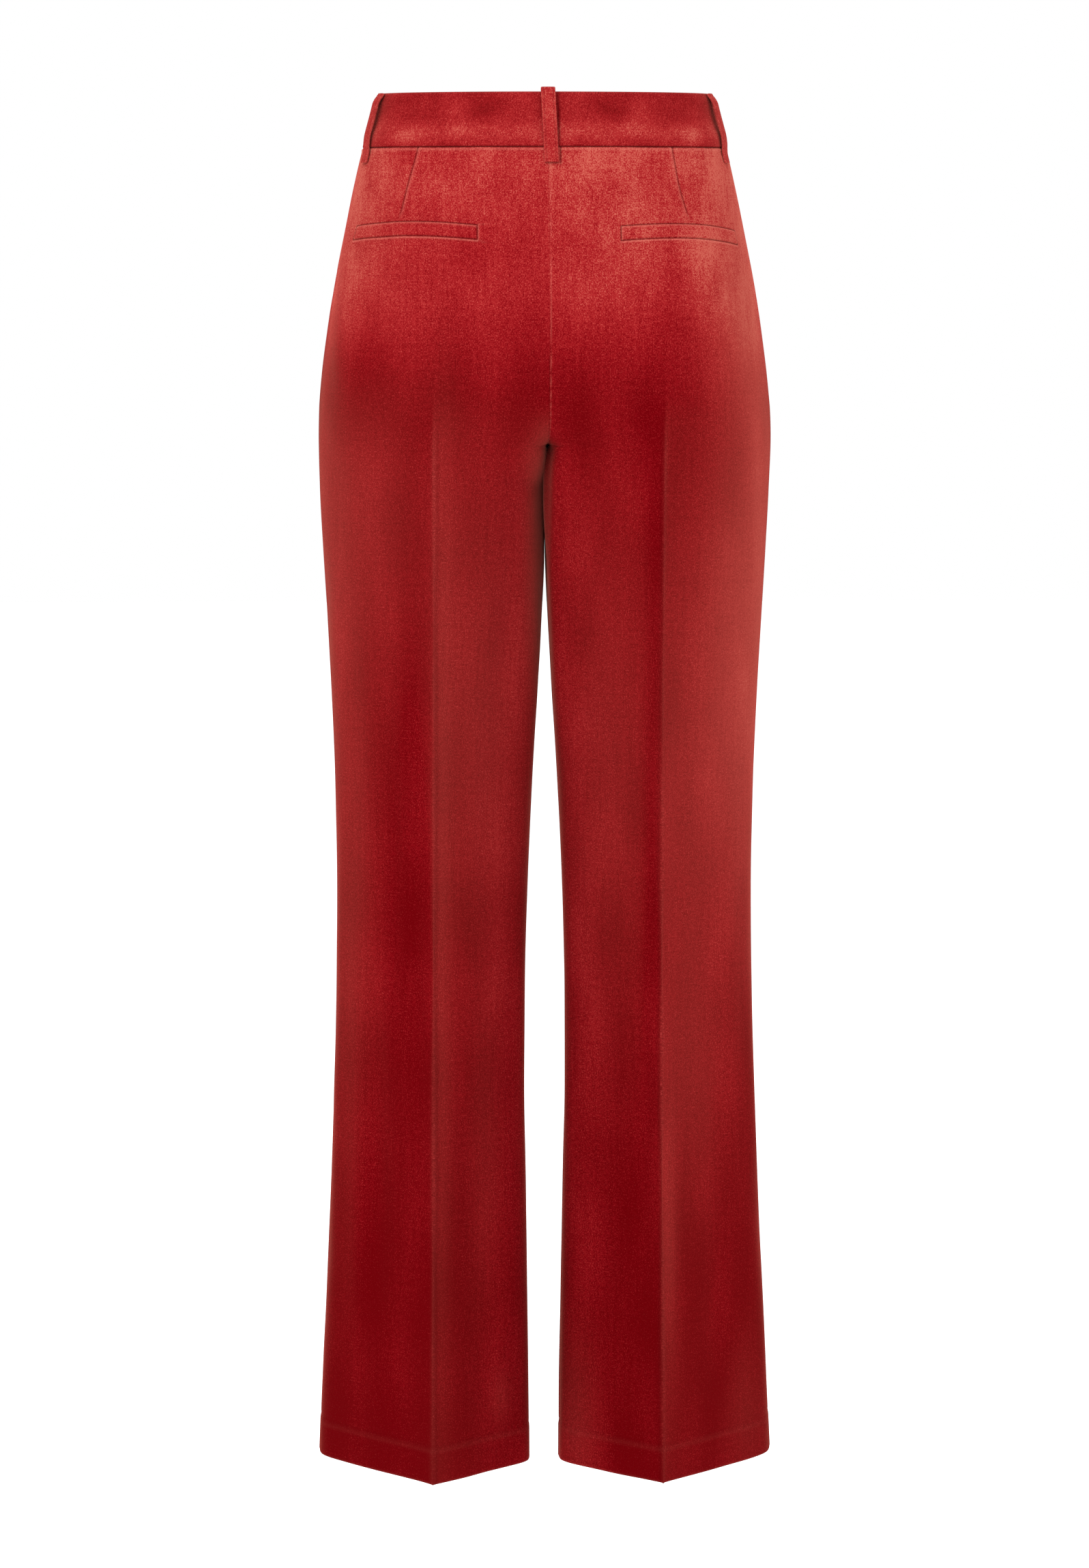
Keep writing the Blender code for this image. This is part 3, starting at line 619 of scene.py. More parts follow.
# %% Tables of folds: height, place at its top, top z, place at its bottom, bottom z, width
# All in millimetres. Places are lengths from the crease, and grow towards the side seam.
FOLDS = {
    (BACK, LEFT): (
        (2, 69, -330, 62, -700, 12), (-1.8, 46, -360, 43, -690, 10),
        (1.7, 82, -590, 75, -985, 11), (-1.5, 60, -640, 55, -960, 11),
        (-1, 16, -560, 14, -860, 8), (1.2, -32, -430, -38, -820, 16),
        (-1.2, -66, -270, -70, -600, 14), (1, -78, -760, -84, -1030, 12),
        (-1.1, -52, -820, -50, -1040, 13),
    ),
    (BACK, RIGHT): (
        (1.8, 49, -280, 46, -620, 13), (-1.7, 18, -330, 16, -690, 8),
        (1.5, 79, -480, 72, -880, 12), (-1.4, 62, -690, 58, -1000, 12),
        (1.4, -47, -600, -42, -830, 17), (-1.2, -20, -640, -18, -920, 10),
        (-1, -70, -290, -74, -560, 13), (1.1, 90, -250, 94, -470, 12),
        (0.9, -85, -860, -90, -1040, 12),
    ),
    (FRONT, LEFT): (
        (-1.8, -75, -262, -40, -330, 9), (1.4, -80, -300, -50, -395, 11),
        (1.7, 60, -420, 55, -780, 13), (-1.4, 38, -500, 34, -820, 10),
        (-1.3, -42, -600, -48, -930, 12), (1.2, 82, -760, 78, -1020, 12),
    ),
    (FRONT, RIGHT): (
        (-1.6, -78, -258, -46, -318, 9), (1.3, -84, -292, -56, -372, 10),
        (1.6, 66, -380, 60, -700, 12), (-1.5, 44, -460, 41, -860, 11),
        (1.3, -36, -520, -40, -840, 14), (-1.2, -64, -720, -60, -1000, 12),
    ),
}
# Patches of painted sheen, which also brush the pile up, and deepen its tone where the amount is
# below 0: how much, then in millimetres place, z, half width and half height of each.
PATCHES = {
    (BACK, LEFT): (
        (0.28, 112, -330, 40, 180), (0.20, 50, -300, 55, 140), (0.24, -45, -460, 55, 170),
        (0.16, -8, -620, 10, 340), (0.24, 86, -620, 26, 200), (-0.06, 72, -800, 13, 140),
        (0.10, -70, -1000, 10, 20), (-0.10, 22, -560, 16, 240), (0.22, 78, -80, 30, 60),
        (0.08, -52, -800, 16, 120), (-0.13, 78, -185, 45, 50),
    ),
    (BACK, RIGHT): (
        (0.77, 105, -350, 46, 240), (0.22, 30, -500, 32, 170), (0.20, -45, -500, 52, 190),
        (0.15, 36, -740, 40, 110), (0.20, 7, -860, 9, 100), (-0.12, -10, -560, 9, 200),
        (0.27, 85, -480, 30, 150), (0.14, 52, -400, 20, 150), (0.40, 82, -130, 34, 90),
        (0.15, -85, -1020, 20, 60), (0.12, 95, -1020, 22, 60),
    ),
    (FRONT, LEFT): (
        (0.34, 95, -320, 40, 180), (0.24, 60, -700, 30, 220), (0.22, -40, -500, 45, 200),
        (0.16, -60, -900, 30, 140), (0.15, 6, -800, 10, 200),
    ),
    (FRONT, RIGHT): (
        (0.36, 90, -360, 42, 200), (0.22, 56, -780, 32, 200), (0.20, -44, -460, 40, 180),
        (0.14, -56, -860, 30, 160), (0.14, -8, -640, 10, 220),
    ),
}
print("folds:", sum(len(rows) for rows in FOLDS.values()))

# %% [markdown]
# ## Leg panels
#
# Each panel is cut flat, sewn along its sides and pressed along its middle. A grid of rows down
# the leg and columns from the side seam over the crease to the middle seam is natural for that,
# with the columns closest together where the cloth bends: at the seams and at the crease. The
# hem is turned up 30 mm, so the wall is twice as thick there, and its fold is round.

# %% Rows and columns of a panel
OUTER_COLUMNS, INNER_COLUMNS, CORNER_COLUMNS = 66, 44, 26
RISE_ROWS, LEG_ROWS, HEM_ROWS = 84, 190, 16
MOUTH_WIDTH, MOUTH_BOTTOM = 0.040, -0.1450
FLY_LAP, FLY_BOTTOM, FLY_CURVE = 0.008, -0.190, 0.035
SEAM_GAP = 0.0003
# Heights and x of the two darts, from the tip up
DART_ROWS = {
    LEFT: ((-0.0780, 0.1150), (-0.0500, 0.1075), (-0.0210, 0.0995)),
    RIGHT: ((-0.0775, 0.1088), (-0.0500, 0.1012), (-0.0210, 0.0957)),
}


def eased(count, pull=0.72):
    """Shares from 0 to 1, closer together at both ends: t - pull sin(2 pi t) / (2 pi)."""
    t = np.linspace(0, 1, count + 1)
    return t - pull * np.sin(2 * np.pi * t) / (2 * np.pi)


def dart_x(z, side):
    """Where the dart is at each height, straight between its rows of height and x."""
    heights, places = zip(*DART_ROWS[side])
    return np.interp(z, heights, places)


def panel_heights():
    """Row heights from the waist seam to the hem, closest at that seam, the crotch and the hem."""
    top = BAND_SEAM - GAP - np.array([0, 0.0004, 0.0008, 0.0012, 0.0017, 0.0023, 0.0031])
    rise = CROTCH + (top[-1] - 0.001 - CROTCH) * np.linspace(1, 0, RISE_ROWS) ** 1.4
    low = HEM_FOLD + 0.002
    leg = CROTCH + (low - CROTCH) * np.linspace(0, 1, LEG_ROWS + 1)[1:] ** 1.12
    return np.concatenate([top, rise, leg, low + (HEM - low) * eased(HEM_ROWS, 0.8)[1:]])


def mouth_edge(z):
    """How far the front is cut back from the side seam at the slant pocket: nothing at the
    mouth's bottom, and its full width at the waist seam."""
    return GAP + MOUTH_WIDTH * np.maximum(0.0, (z - MOUTH_BOTTOM) / (BAND_SEAM - MOUTH_BOTTOM))


def fly_edge(z):
    """How far the right front reaches past the middle: 8 mm, ending in a quarter ellipse."""
    share = np.clip((z - FLY_BOTTOM) / FLY_CURVE, 0, 1)
    return FLY_LAP * np.sqrt(1 - (1 - share) ** 2)


def crowded(count, places, width, weight):
    """Shares from 0 to 1 for every row, closer together at both ends and at one place in each row:
    the sum of those bells is added up along the row and divided into equal steps."""
    t, wanted = (np.tile(np.linspace(0, 1, steps), (len(places), 1)) for steps in (600, count + 1))
    crowd = 1 + 2.4 * (bell(t, 0.05) + bell(1 - t, 0.05))
    crowd = np.cumsum(crowd + weight * bell(t - places[:, None], width), axis=1)
    return look_up(wanted, (crowd - crowd[:, :1]) / (crowd[:, -1:] - crowd[:, :1]), t)


def between(start, end, shares):
    """Each row's lengths at shares of the way from its start to its end."""
    return start[:, None] + (end - start)[:, None] * shares


def panel_columns(half, side, z, start, lap):
    """Lengths from the side seam of every column. On the back, columns crowd along the dart."""
    crease, corner = crease_arc(half, z), corner_arc(half, z)
    dart = (arc_at_x(BACK, z, dart_x(z, side)) - start) / (crease - start)
    shares = crowded(OUTER_COLUMNS, np.clip(dart, 0.1, 0.9), 0.014, 9.0 if half == BACK else 0.0)
    spread = np.where(z > CROTCH, 1.0, 1.9)[:, None]
    last = np.linspace(0, 1, CORNER_COLUMNS + 1)[1:] ** spread
    return np.concatenate([
        between(start, crease, shares),
        between(crease, corner, eased(INNER_COLUMNS, 0.7)[1:]),
        between(corner, level_lines(z, half)[3] + lap, last),
    ], axis=1)


def turned_in(points, normals):
    """The way the inside of the wall goes. At the middle seam it stays in the middle plane, so
    that the two walls meet all through, except where the cloth runs along that plane."""
    flat = normals * (0, 1, 1)
    size = np.linalg.norm(flat, axis=2, keepdims=True)
    share = np.clip((size - 0.5) * 6, 0, 1)
    at_middle = (abs(points[..., :1] - GAP) < GAP * 0.2) & (points[..., 2:] > CROTCH)
    turned = flat / np.maximum(size, 0.5) ** 2
    return np.where(at_middle, normals + share * (turned - normals), normals)


def rounded(depth, radius):
    """How far cloth is rounded off at a fold, by its depth inside it: radius - sqrt(radius^2 -
    d^2), where d is how far a point is into the last radius before the fold."""
    into = np.clip(radius - depth, 0, radius)
    return radius - np.sqrt(np.maximum(radius**2 - into**2, 0))


# %% [markdown]
# ### What is sewn into a panel
#
# The hem is caught by a blind stitch, which shows outside as a faint dimpled line. Two darts in
# the back run from the waist seam to the welts, and each is a stitched fold that closes to
# nothing at its tip. The side seam of the hip shows as a fine line just inside the outline.

# %% Heights that a panel's sewing makes
FLY_STITCH, FLY_STITCH_TURN = 0.032, -0.150
HEM_STITCH, SEAM_STITCH = 0.007, 0.0031


def dart_lines(x, z, side):
    """How far a point is past the dart, towards the side seam, and how far the dart is sewn
    there: fully at its top, and fading over its last 12 mm. Then its height, a groove 0.7 mm
    deep with a soft roll towards the middle of the back."""
    tip = DART_ROWS[side][0][0]
    away = x - dart_x(z, side)[:, None]
    sewn = (fade(z, tip - 0.001, tip + 0.011) * (z <= BAND_SEAM))[:, None]
    return away, sewn, (-0.0007 * bell(away, 0.0008) + 0.0003 * bell(away + 0.0024, 0.0016)) * sewn


def pucker_height(x, z, side):
    """Small drag lines in the cloth under the band. At the right loop and dart they are four
    short upright ripples and one slanting crease below them, and on the left one soft slant."""
    if side == LEFT:
        return 0.0004 * bell((x - 0.126) - 0.25 * (z + 0.035), 0.0030) * bell(z + 0.034, 0.009)
    ripples = sum(height * bell(x - place, 0.0017) for place, height in (
        (0.1135, 0.0004), (0.1172, -0.0005), (0.1200, 0.0005), (0.1236, -0.0004)))
    slant = -0.0007 * bell((x - 0.1235) + 0.9 * (z + 0.0362), 0.0012)
    return ripples * bell(z + 0.0255, 0.0050) + slant * bell(z + 0.0362, 0.0030)


def hem_stitch_height(u, z):
    """The hem's blind stitch 30 mm up: a shallow groove with a dimple every 7 mm along it, and the
    turned-up cloth standing out a little below it."""
    line = z - HEM_FOLD + 0.0006 * np.sin(u * 90)
    dimples = 0.55 + 0.45 * np.cos(u * 2 * np.pi / HEM_STITCH)
    return -0.00045 * bell(line, 0.0012) * dimples + 0.00035 * fade(-line, 0.0, 0.004)


def fly_stitch_distance(to_end, z):
    """Distance from the curved line of stitches that holds the fly: 32 mm from the middle, and
    below -0.150 a quarter ellipse down to the fly's bottom."""
    share = np.clip((FLY_STITCH_TURN - z) / (FLY_STITCH_TURN - FLY_BOTTOM), 0, 1)
    line = FLY_STITCH * np.sqrt(np.maximum(1 - share**2, 0))
    return np.where(z > FLY_BOTTOM, to_end - line, 1.0)


# %% [markdown]
# ### Inner edges, the lie of the pile, and painted light
#
# Under the crotch the two legs press together, so their back edges are sharper than a filled
# tube's, and the right one laps over the left one. The hips get painted light from above, which
# makes them paler, and the cloth gets painted shade towards the hems. Both follow from how far
# down and how far from the crease a point is, so smooth steps in those two lengths describe them.

# %% How the inner edges lie, how the pile is brushed, and where light is painted
TIGHT_AT_CROTCH, TIGHT_RIGHT = 2.0, 4.0
FLY_RAMP_FROM, FLY_RAMP = 0.020, 0.008
CREASE_FROM, CREASE_FULL = 0.205, 0.256
LIPS = {LEFT: 0.0014, RIGHT: 0.0042}
LOOP_GAP_X, LOOP_FOOT = 0.0090, -0.0325


def tightness(z, side):
    """How much harder the back's inner edge keeps to its corner than the tube does, as smooth
    steps down the leg. Both panels share it at the crotch. The right one stays sharp down to the
    knee, and the left one turns round."""
    above = TIGHT_AT_CROTCH * fade(-z, 0.190, -CROTCH)
    if side == LEFT:
        return above * fade(z, CROTCH - 0.034, CROTCH)
    below = (TIGHT_RIGHT - TIGHT_AT_CROTCH) * fade(-z, -CROTCH, 0.280)
    return (above + below) * fade(z, -0.520, -0.380)


def pile_and_light_at(half, side, u, level):
    """How far the pile is brushed up, with painted light and shade in it, and how much painted
    sheen it gets. The hips get the most painted light, from above, the hems the deepest painted
    shade, and the inner part of each leg a little more than its outer part. The patches and one
    side of each crease get painted sheen and are brushed up a little too, and the crease's other
    side gets a little painted shade. A gentle unevenness comes on top."""
    outer = fade(u, 0.020, 0.065) * (fade(level, -0.215, -0.120) if side == LEFT else 1)
    painted_light_by_height = (0.46 - 0.06 * side + (0.155 - 0.025 * side) * outer) * fade(level, -0.235, -0.090)
    painted_light_by_height = 0.10 + painted_light_by_height + 0.07 * fade(level, -0.110, -0.050) - 0.09 * fade(-level, 0.70, 1.00)
    rows = np.array(PATCHES[half, side]) / (1, 1000, 1000, 1000, 1000)
    patches = sum(
        amount * bell(u - place, wide) * bell(level - height_z, tall)
        for amount, place, height_z, wide, tall in rows
    )
    # One side of each crease gets painted sheen, and the other side painted shade
    past = -u if side == LEFT else u
    step = 0.5 + 0.5 * np.tanh(past / 0.0007)
    beside = 0.075 * step * np.exp(-np.maximum(past, 0) / 0.034)
    beside = beside - 0.06 * (1 - step) * np.exp(np.minimum(past, 0) / 0.022)
    patches = patches + beside * fade(-level, 0.205, 0.236)
    inner = 0.11 * fade(-u, 0.025, 0.070) * fade(-level, 0.235, 0.300)
    brushed = np.minimum(painted_light_by_height + inner + 0.45 * patches, 0.80)
    brushed = brushed + unevenness(u, level, 31 + half + side, 0.05, 0.05)
    return brushed, np.clip(0.68 * patches, 0, 0.85)


# %% Heights and marks of a panel at any of its points
def relief(half, side, z, arcs, start, lapped):
    """Heights of folds, creases, seams and sewing added up, and the marks that follow the same
    lines: painted highlights, painted shade, brushed pile with painted light, and painted sheen,
    for rows of points at these heights and lengths."""
    x = on_tube(half, z, arcs)[..., 0]
    level = np.broadcast_to(z[:, None], arcs.shape)
    u = crease_arc(half, z)[:, None] - arcs
    to_end = level_lines(z, half)[3][:, None] - arcs
    side_seam = arcs - start[:, None] * ((half == FRONT) & (level >= MOUTH_BOTTOM))
    middle = np.where((level > CROTCH) & lapped, 1.0, to_end)
    from_waist, from_fold = level - BAND_SEAM, level - HEM_FOLD
    brushed, dusty = pile_and_light_at(half, side, u, level)
    crease_on = fade(-level, CREASE_FROM, CREASE_FULL)

    # The crease, the folds and two sizes of unevenness, all calm near the seams
    height = crease_on * 0.0009 * np.exp(-abs(u) / 0.0022)
    folds = np.array(FOLDS[half, side]) / 1000
    height = height + sum(fold_height(u, level, fold) for fold in folds)
    height = height + unevenness(u, level, 7 + half + 2 * side, 0.085, 0.0007)
    height = height + unevenness(u, level, 17 + half + 2 * side, 0.030, 0.00018)
    calm = fade(arcs, 0.0, 0.020) * fade(to_end, -0.001, 0.020) * fade(-level, 0.021, 0.045)
    calm = calm * (1 - (1 - fade(x, 0.0, 0.020)) * fade(level, CROTCH - 0.060, CROTCH))
    # The hem's stitch, the side seam, and the cloth that rolls out under the band by 0.45 mm
    height = height * (0.15 + 0.85 * calm) + hem_stitch_height(u, level) + seam_height(side_seam)
    height = height + 0.00045 * bell(from_waist + 0.0018, 0.0011)
    height = height - 0.0004 * bell(from_waist, 0.0006)
    # Painted highlights along the crease, where the pile is also crushed, on the side seam's roll,
    # on the roll under the band, below the hem's stitch and on the hem's fold
    crease_highlight = np.exp(-abs(u) / 0.0011) * (0.75 + unevenness(u * 0, level, 5, 0.05, 0.25))
    pressed = (
        0.07 * crease_on * crease_highlight
        + 0.12 * bell(side_seam - 0.0028, 0.0014)
        + 0.36 * bell(from_waist + 0.0017, 0.0010)
        + 0.03 * bell(from_fold + 0.0035, 0.0016)
        + 0.08 * fade(-level, -HEM - 0.0025, -HEM)
    )
    # Painted shade in the side seam's groove, on one side of the crease and along the hem's stitch
    # groove
    sunk = (
        0.75 * bell(side_seam, 0.0009)
        + 0.16 * crease_on * bell(u + 0.0030, 0.0018)
        + 0.10 * bell(from_fold + 0.001, 0.0012)
    )

    if half == BACK:
        # The middle seam is pressed flat: all that stands up is a thin roll beside it.
        away, sewn, dart = dart_lines(x, z, side)
        height = height + 0.00015 * bell(middle - 0.0012, 0.0009)
        height = height + dart + pucker_height(x, level, side)
        # Painted highlight on the dart's roll, and painted shade in its groove
        pressed = pressed + 0.30 * sewn * bell(away + 0.0015, 0.0009)
        sunk = sunk + 0.55 * sewn * bell(away, 0.0006)
    else:
        height = height + seam_height(middle)
        # Painted highlight on the middle seam's roll, and painted shade in its groove
        pressed = pressed + 0.04 * bell(middle - 0.0026, 0.0014)
        sunk = sunk + 0.35 * bell(middle, 0.0008)
    if half == BACK and side == RIGHT:
        # Painted highlights dotted along the middle seam and along the right leg's edge under the
        # crotch, and painted shadow in the gaps at the middle loop's side and foot
        dots = 0.55 + 0.45 * np.sin(level * 2 * np.pi / SEAM_STITCH)
        painted_light_under_crotch = fade(-level, -CROTCH - 0.002, -CROTCH + 0.006) * fade(level, -0.50, -0.34)
        pressed = pressed + 0.22 * dots * bell(middle - 0.0012, 0.0006)
        pressed = pressed + 0.34 * painted_light_under_crotch * bell(x, 0.0026)
        beside = bell(x - LOOP_GAP_X, 0.0007) * fade(level, LOOP_FOOT - 0.0012, LOOP_FOOT)
        under = bell(level - LOOP_FOOT + 0.0010, 0.0007)
        under = under * fade(-x, -LOOP_GAP_X - 0.0004, -LOOP_GAP_X + 0.0006)
        sunk = sunk + 0.75 * np.maximum(beside, under)
    elif side == RIGHT:
        # The fly's stitches, with painted shade in their groove, and the right front lifted over
        # the left one's edge
        stitch_away = fly_stitch_distance(to_end, level)
        lift = np.clip((-to_end + FLY_RAMP_FROM) / FLY_RAMP, 0, 1) * (WALL + SEAM_GAP)
        height = height - 0.0005 * bell(stitch_away, 0.0014)
        height = height + lift * fade(level, FLY_BOTTOM - 0.004, FLY_BOTTOM + 0.004)
        sunk = sunk + 0.26 * bell(stitch_away, 0.0015)
    if half == FRONT or side == LEFT:
        # Painted brownish sheen along the inner edge below the crotch.
        sheen_along_edge = fade(-level, -CROTCH - 0.036, -CROTCH + 0.030) * fade(level, -0.50, -0.34)
        dusty = dusty + 0.65 * sheen_along_edge * bell(x, 0.012)
    pressed, sunk = np.clip(pressed, 0, 1), np.clip(sunk, 0, 1)
    return height, {"pressed": pressed, "sunk": sunk, "brushed": brushed, "dusty": dusty}, u


def cloth_place(u, level, half, side):
    """Where a panel's points lie on the flat cloth. Each panel has a stretch of its own."""
    return np.stack([u + 0.5 * side, level + 0.35 * half], axis=-1)


# %% Build the four panels
WIDER_BELOW, WIDER = -0.62, 0.020
FOLD_RADIUS = 0.0014


def leg_panel(name, side, half, start=None, lap=None):
    """The grid is moved out by its heights, and a wall is put behind it, twice as thick at the
    turned-up hem. The right leg is up to 2 percent wider about its crease than the left one."""
    z = panel_heights()
    start = np.full(len(z), GAP) if start is None else start(z)
    lap = np.zeros(len(z)) if lap is None else lap(z)
    arcs = panel_columns(half, side, z, start, lap)
    level = np.broadcast_to(z[:, None], arcs.shape)
    points = on_tube(half, z, arcs)
    points = tightened(points, half, z, arcs, tightness(z, side if half == BACK else LEFT))
    normals = outward(points, half)
    if half == BACK or not lap.any():
        normals[:, 0, 1] *= 0.2
    normals[z <= CROTCH, -1, 1] = 0
    normals = unit(normals)
    height, marks, u = relief(half, side, z, arcs, start, (lap > 0)[:, None])

    thick = WALL * (1 + fade(-level, -HEM_FOLD - 0.0008, -HEM_FOLD + 0.0008))
    off = rounded(level - HEM, FOLD_RADIUS)
    outer = points + normals * (height - off)[..., None]
    inner = points + normals * (height * 0.9)[..., None]
    inner = inner - turned_in(points, normals) * (thick - off)[..., None]
    own = points[..., 0] >= GAP * 0.99
    lip = 0.0
    if half == BACK:
        # Just under the crotch the legs' edges close up, and the right one laps over the left one.
        lip = LIPS[side] * fade(-z, -CROTCH, -CROTCH + 0.005) * fade(z, -0.365, -0.285)
        lip = lip[:, None] * bell(arcs - corner_arc(half, z, CORNER_X * 0.3)[:, None], 0.008)
    wider = 1 + WIDER * fade(-level, -WIDER_BELOW, 1.0) * (side == RIGHT)
    seam_rows = (z > CROTCH) & (lap == 0)
    for grid in (outer, inner):
        grid[seam_rows, -1, 0] = GAP
        grid[..., 0] = np.where(own, np.maximum(grid[..., 0], GAP), grid[..., 0]) - lip
        grid[..., 0] = CREASE_X + (grid[..., 0] - CREASE_X) * wider
    flat = cloth_place(u, level, half, side)
    return closed_wall(name, side, outer, inner, flat, marks, wrong_side)


panels = {}
for side, word in SIDES:
    panels[BACK, side] = leg_panel(f"back_panel_{word}", side, BACK)
    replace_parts(panels[BACK, side], f"back_{word}")
    laps = fly_edge if side == RIGHT else None
    panels[FRONT, side] = leg_panel(f"front_panel_{word}", side, FRONT, mouth_edge, laps)
    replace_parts(panels[FRONT, side], f"front_{word}")

# %% [markdown]
# ## Pocket facings
#
# A slant pocket opens in front of the side seam. What shows in its mouth is a strip of the same
# velvet that belongs to the hip: flush at the side seam, and a little deeper behind the edge of
# the front. It is one more piece of the tube, moved in.

# %% Build the two facings
FACING_TUCK, FACING_BOTTOM, FACING_DIVE, FACING_LEAST = 0.012, -0.152, 0.030, 0.005
FACING_UNDER_BAND, TUCK_GAP = 0.003, 0.0010
FACING_ROWS, FACING_COLUMNS = 60, 34


def pocket_facing(name, side):
    """Columns from the side seam to under the front's edge. Its depth grows with the square of
    the share of the way there, and is full all over below the mouth."""
    z = np.linspace(BAND_SEAM + FACING_UNDER_BAND, FACING_BOTTOM, FACING_ROWS)
    edge = np.maximum(mouth_edge(z), GAP + FACING_LEAST)
    arcs = GAP + (edge + FACING_TUCK - GAP)[:, None] * np.linspace(0, 1, FACING_COLUMNS)
    share = np.clip((arcs - GAP) / (0.92 * (edge - GAP))[:, None], 0, 1)
    dive = np.clip((MOUTH_BOTTOM + FACING_DIVE - z) / (FACING_DIVE * 0.6), 0, 1)[:, None]
    points = on_tube(FRONT, z, arcs)
    normals = outward(points, FRONT)
    level = np.broadcast_to(z[:, None], arcs.shape)
    height = unevenness(arcs, level, 41 + side, 0.03, 0.0002) + seam_height(arcs) * (1 - dive)
    outer = points + normals * (height - np.maximum(share**2, dive) * (WALL + TUCK_GAP))[..., None]
    # Painted highlight on the seam's roll, painted shade in the seam and growing deeper into the
    # pocket's mouth, and an even painted sheen
    marks = {
        "pressed": 0.3 * bell(arcs - 0.0028, 0.0014),
        "sunk": np.clip(0.75 * bell(arcs, 0.0009) + 0.55 * share**3, 0, 1),
        "brushed": 0.50, "dusty": 0.20,
    }
    flat = np.stack([arcs - 0.9 * side, level], axis=-1)
    return closed_wall(name, side, outer, outer - normals * WALL, flat, marks, wrong_side)


for side, word in SIDES:
    made = pocket_facing(f"facing_{word}", side)
    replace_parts(made, f"pocket_facing_{word}")

# %% [markdown]
# ## Waistband
#
# The band is cut double and folded over a firm strip, so its top edge is round, its face is
# smooth, and it swells a little above the waist seam, where the seam's turnings lie under it.
# That low swelling catches a soft line of light, which is also painted along it as a highlight.
# Along it, the band is one grid that runs round the waist.

# %% Build the three bands
BAND_WALL, BAND_PROUD = 0.0026, 0.0008
BAND_ROWS, BAND_COLUMNS = 34, 101
BAND_TOP_RADIUS, BAND_SEAM_RADIUS = 0.0012, 0.0013
UNDERLAP_END, UNDERLAP_TURN, UNDERLAP_GAP = 0.030, 0.005, 0.0006
UNDERLAP_DEPTH = BAND_WALL + UNDERLAP_GAP + 0.0009


def band_grids(half, shares, extras, sunk=0.0):
    """Outer and inner grids of a band. Each column lies at a share of the way from the side to the
    middle of its level, plus an extra length, and is moved in by its sunk depth."""
    z = ((BAND_SEAM + GAP) + (BAND_TOP - BAND_SEAM) * eased(BAND_ROWS, 0.85))[::-1]
    arcs = shares * level_lines(z, half)[3][:, None] + extras
    points = on_tube(half, z, arcs)
    normals = unit(outward(points, half) * (1, 1, 0))
    level = np.broadcast_to(z[:, None], arcs.shape)
    above = level - BAND_SEAM
    top_round = rounded(BAND_TOP - level, BAND_TOP_RADIUS)
    seam_round = rounded(above, BAND_SEAM_RADIUS)
    swell = 0.0009 * bell(above - 0.0095, 0.0060)
    swell = swell + 0.0003 * bell(level - BAND_TOP + 0.0060, 0.0040)
    wave = unevenness(arcs, level, 61 + half, 0.040, 0.00028) * fade(BAND_TOP - level, 0, 0.01)
    out = BAND_PROUD + swell + wave - sunk - top_round - seam_round
    back = BAND_PROUD - BAND_WALL - sunk + top_round + 0.4 * seam_round
    streaks = unevenness(arcs, level * 3, 71 + half, 0.035, 0.07)
    # Painted highlight on the round top edge, painted shade in the waist seam, a painted line of
    # light along the swelling over streaky pile, and painted sheen towards the side seams
    marks = {
        "pressed": 0.12 * bell(BAND_TOP - level, 0.0010),
        "sunk": 0.8 * bell(above, 0.0009),
        "brushed": 0.32 + 0.30 * bell(above - 0.011, 0.0085) + streaks,
        "dusty": 0.06 + 0.30 * (1 - fade(arcs, 0.0, 0.055)),
    }
    flat = np.stack([arcs + 1.4 * half, level + 0.6], axis=-1)
    return points + normals * out[..., None], points + normals * back[..., None], flat, marks


def doubled(values, turned):
    """Columns up to the middle, and then the turned ones back to the side."""
    return np.concatenate([values, turned[:, -2::-1]], axis=1)


def back_band():
    """The left half of the back band and its mirror image, joined at the middle back, with painted
    shadow in the gap beside the slanting middle loop."""
    shares = np.linspace(0, 1, BAND_COLUMNS)
    outer, inner, flat, marks = band_grids(BACK, shares, GAP * (1 - shares))
    outer[:, -1, 0] = inner[:, -1, 0] = 0.0
    outer, inner = (doubled(grid, grid * (-1, 1, 1)) for grid in (outer, inner))
    marks = {key: doubled(values, values) for key, values in marks.items()}
    # Painted shadow along the gap beside the middle loop, slanting with it
    up = np.clip((outer[..., 2] - LOOP_FOOT) / (BAND_TOP - LOOP_FOOT), 0, 1)
    loop_shadow = 0.75 * bell(outer[..., 0] + LOOP_GAP_X - 0.0024 * up, 0.0008)
    marks["sunk"] = np.maximum(marks["sunk"], loop_shadow)
    flat = doubled(flat, 2 * flat[:, -1:] - flat)
    return closed_wall("band_back", LEFT, outer, inner, flat, marks, wrong_side)


def front_band_right():
    """The right front band, which laps 8 mm past the middle over the fly."""
    shares = np.linspace(0, 1, BAND_COLUMNS)
    grids = band_grids(FRONT, shares, GAP * (1 - shares) + FLY_LAP * shares)
    return closed_wall("band_front_right", RIGHT, *grids, wrong_side)


def front_band_left():
    """The left front band. Just before the lap it sinks by its own thickness, and runs on behind
    the right one as the underlap."""
    lap_line = -FLY_LAP - SEAM_GAP
    before = lap_line - UNDERLAP_TURN
    face = np.linspace(0, 1, 96)
    turn = np.linspace(0, 1, 13)[1:]
    tail = np.linspace(lap_line, UNDERLAP_END, 24)[1:]
    shares = np.concatenate([face, np.ones(len(turn) + len(tail))])
    extras = (GAP * (1 - face) + before * face, before + (lap_line - before) * turn, tail)
    extras = np.concatenate(extras)
    sunk = UNDERLAP_DEPTH * np.concatenate([face * 0, fade(turn, 0, 1), np.ones(len(tail))])
    outer, inner, flat, marks = band_grids(FRONT, shares, extras, sunk)
    return closed_wall("band_front_left", LEFT, outer, inner, flat + (3.0, 0), marks, wrong_side)


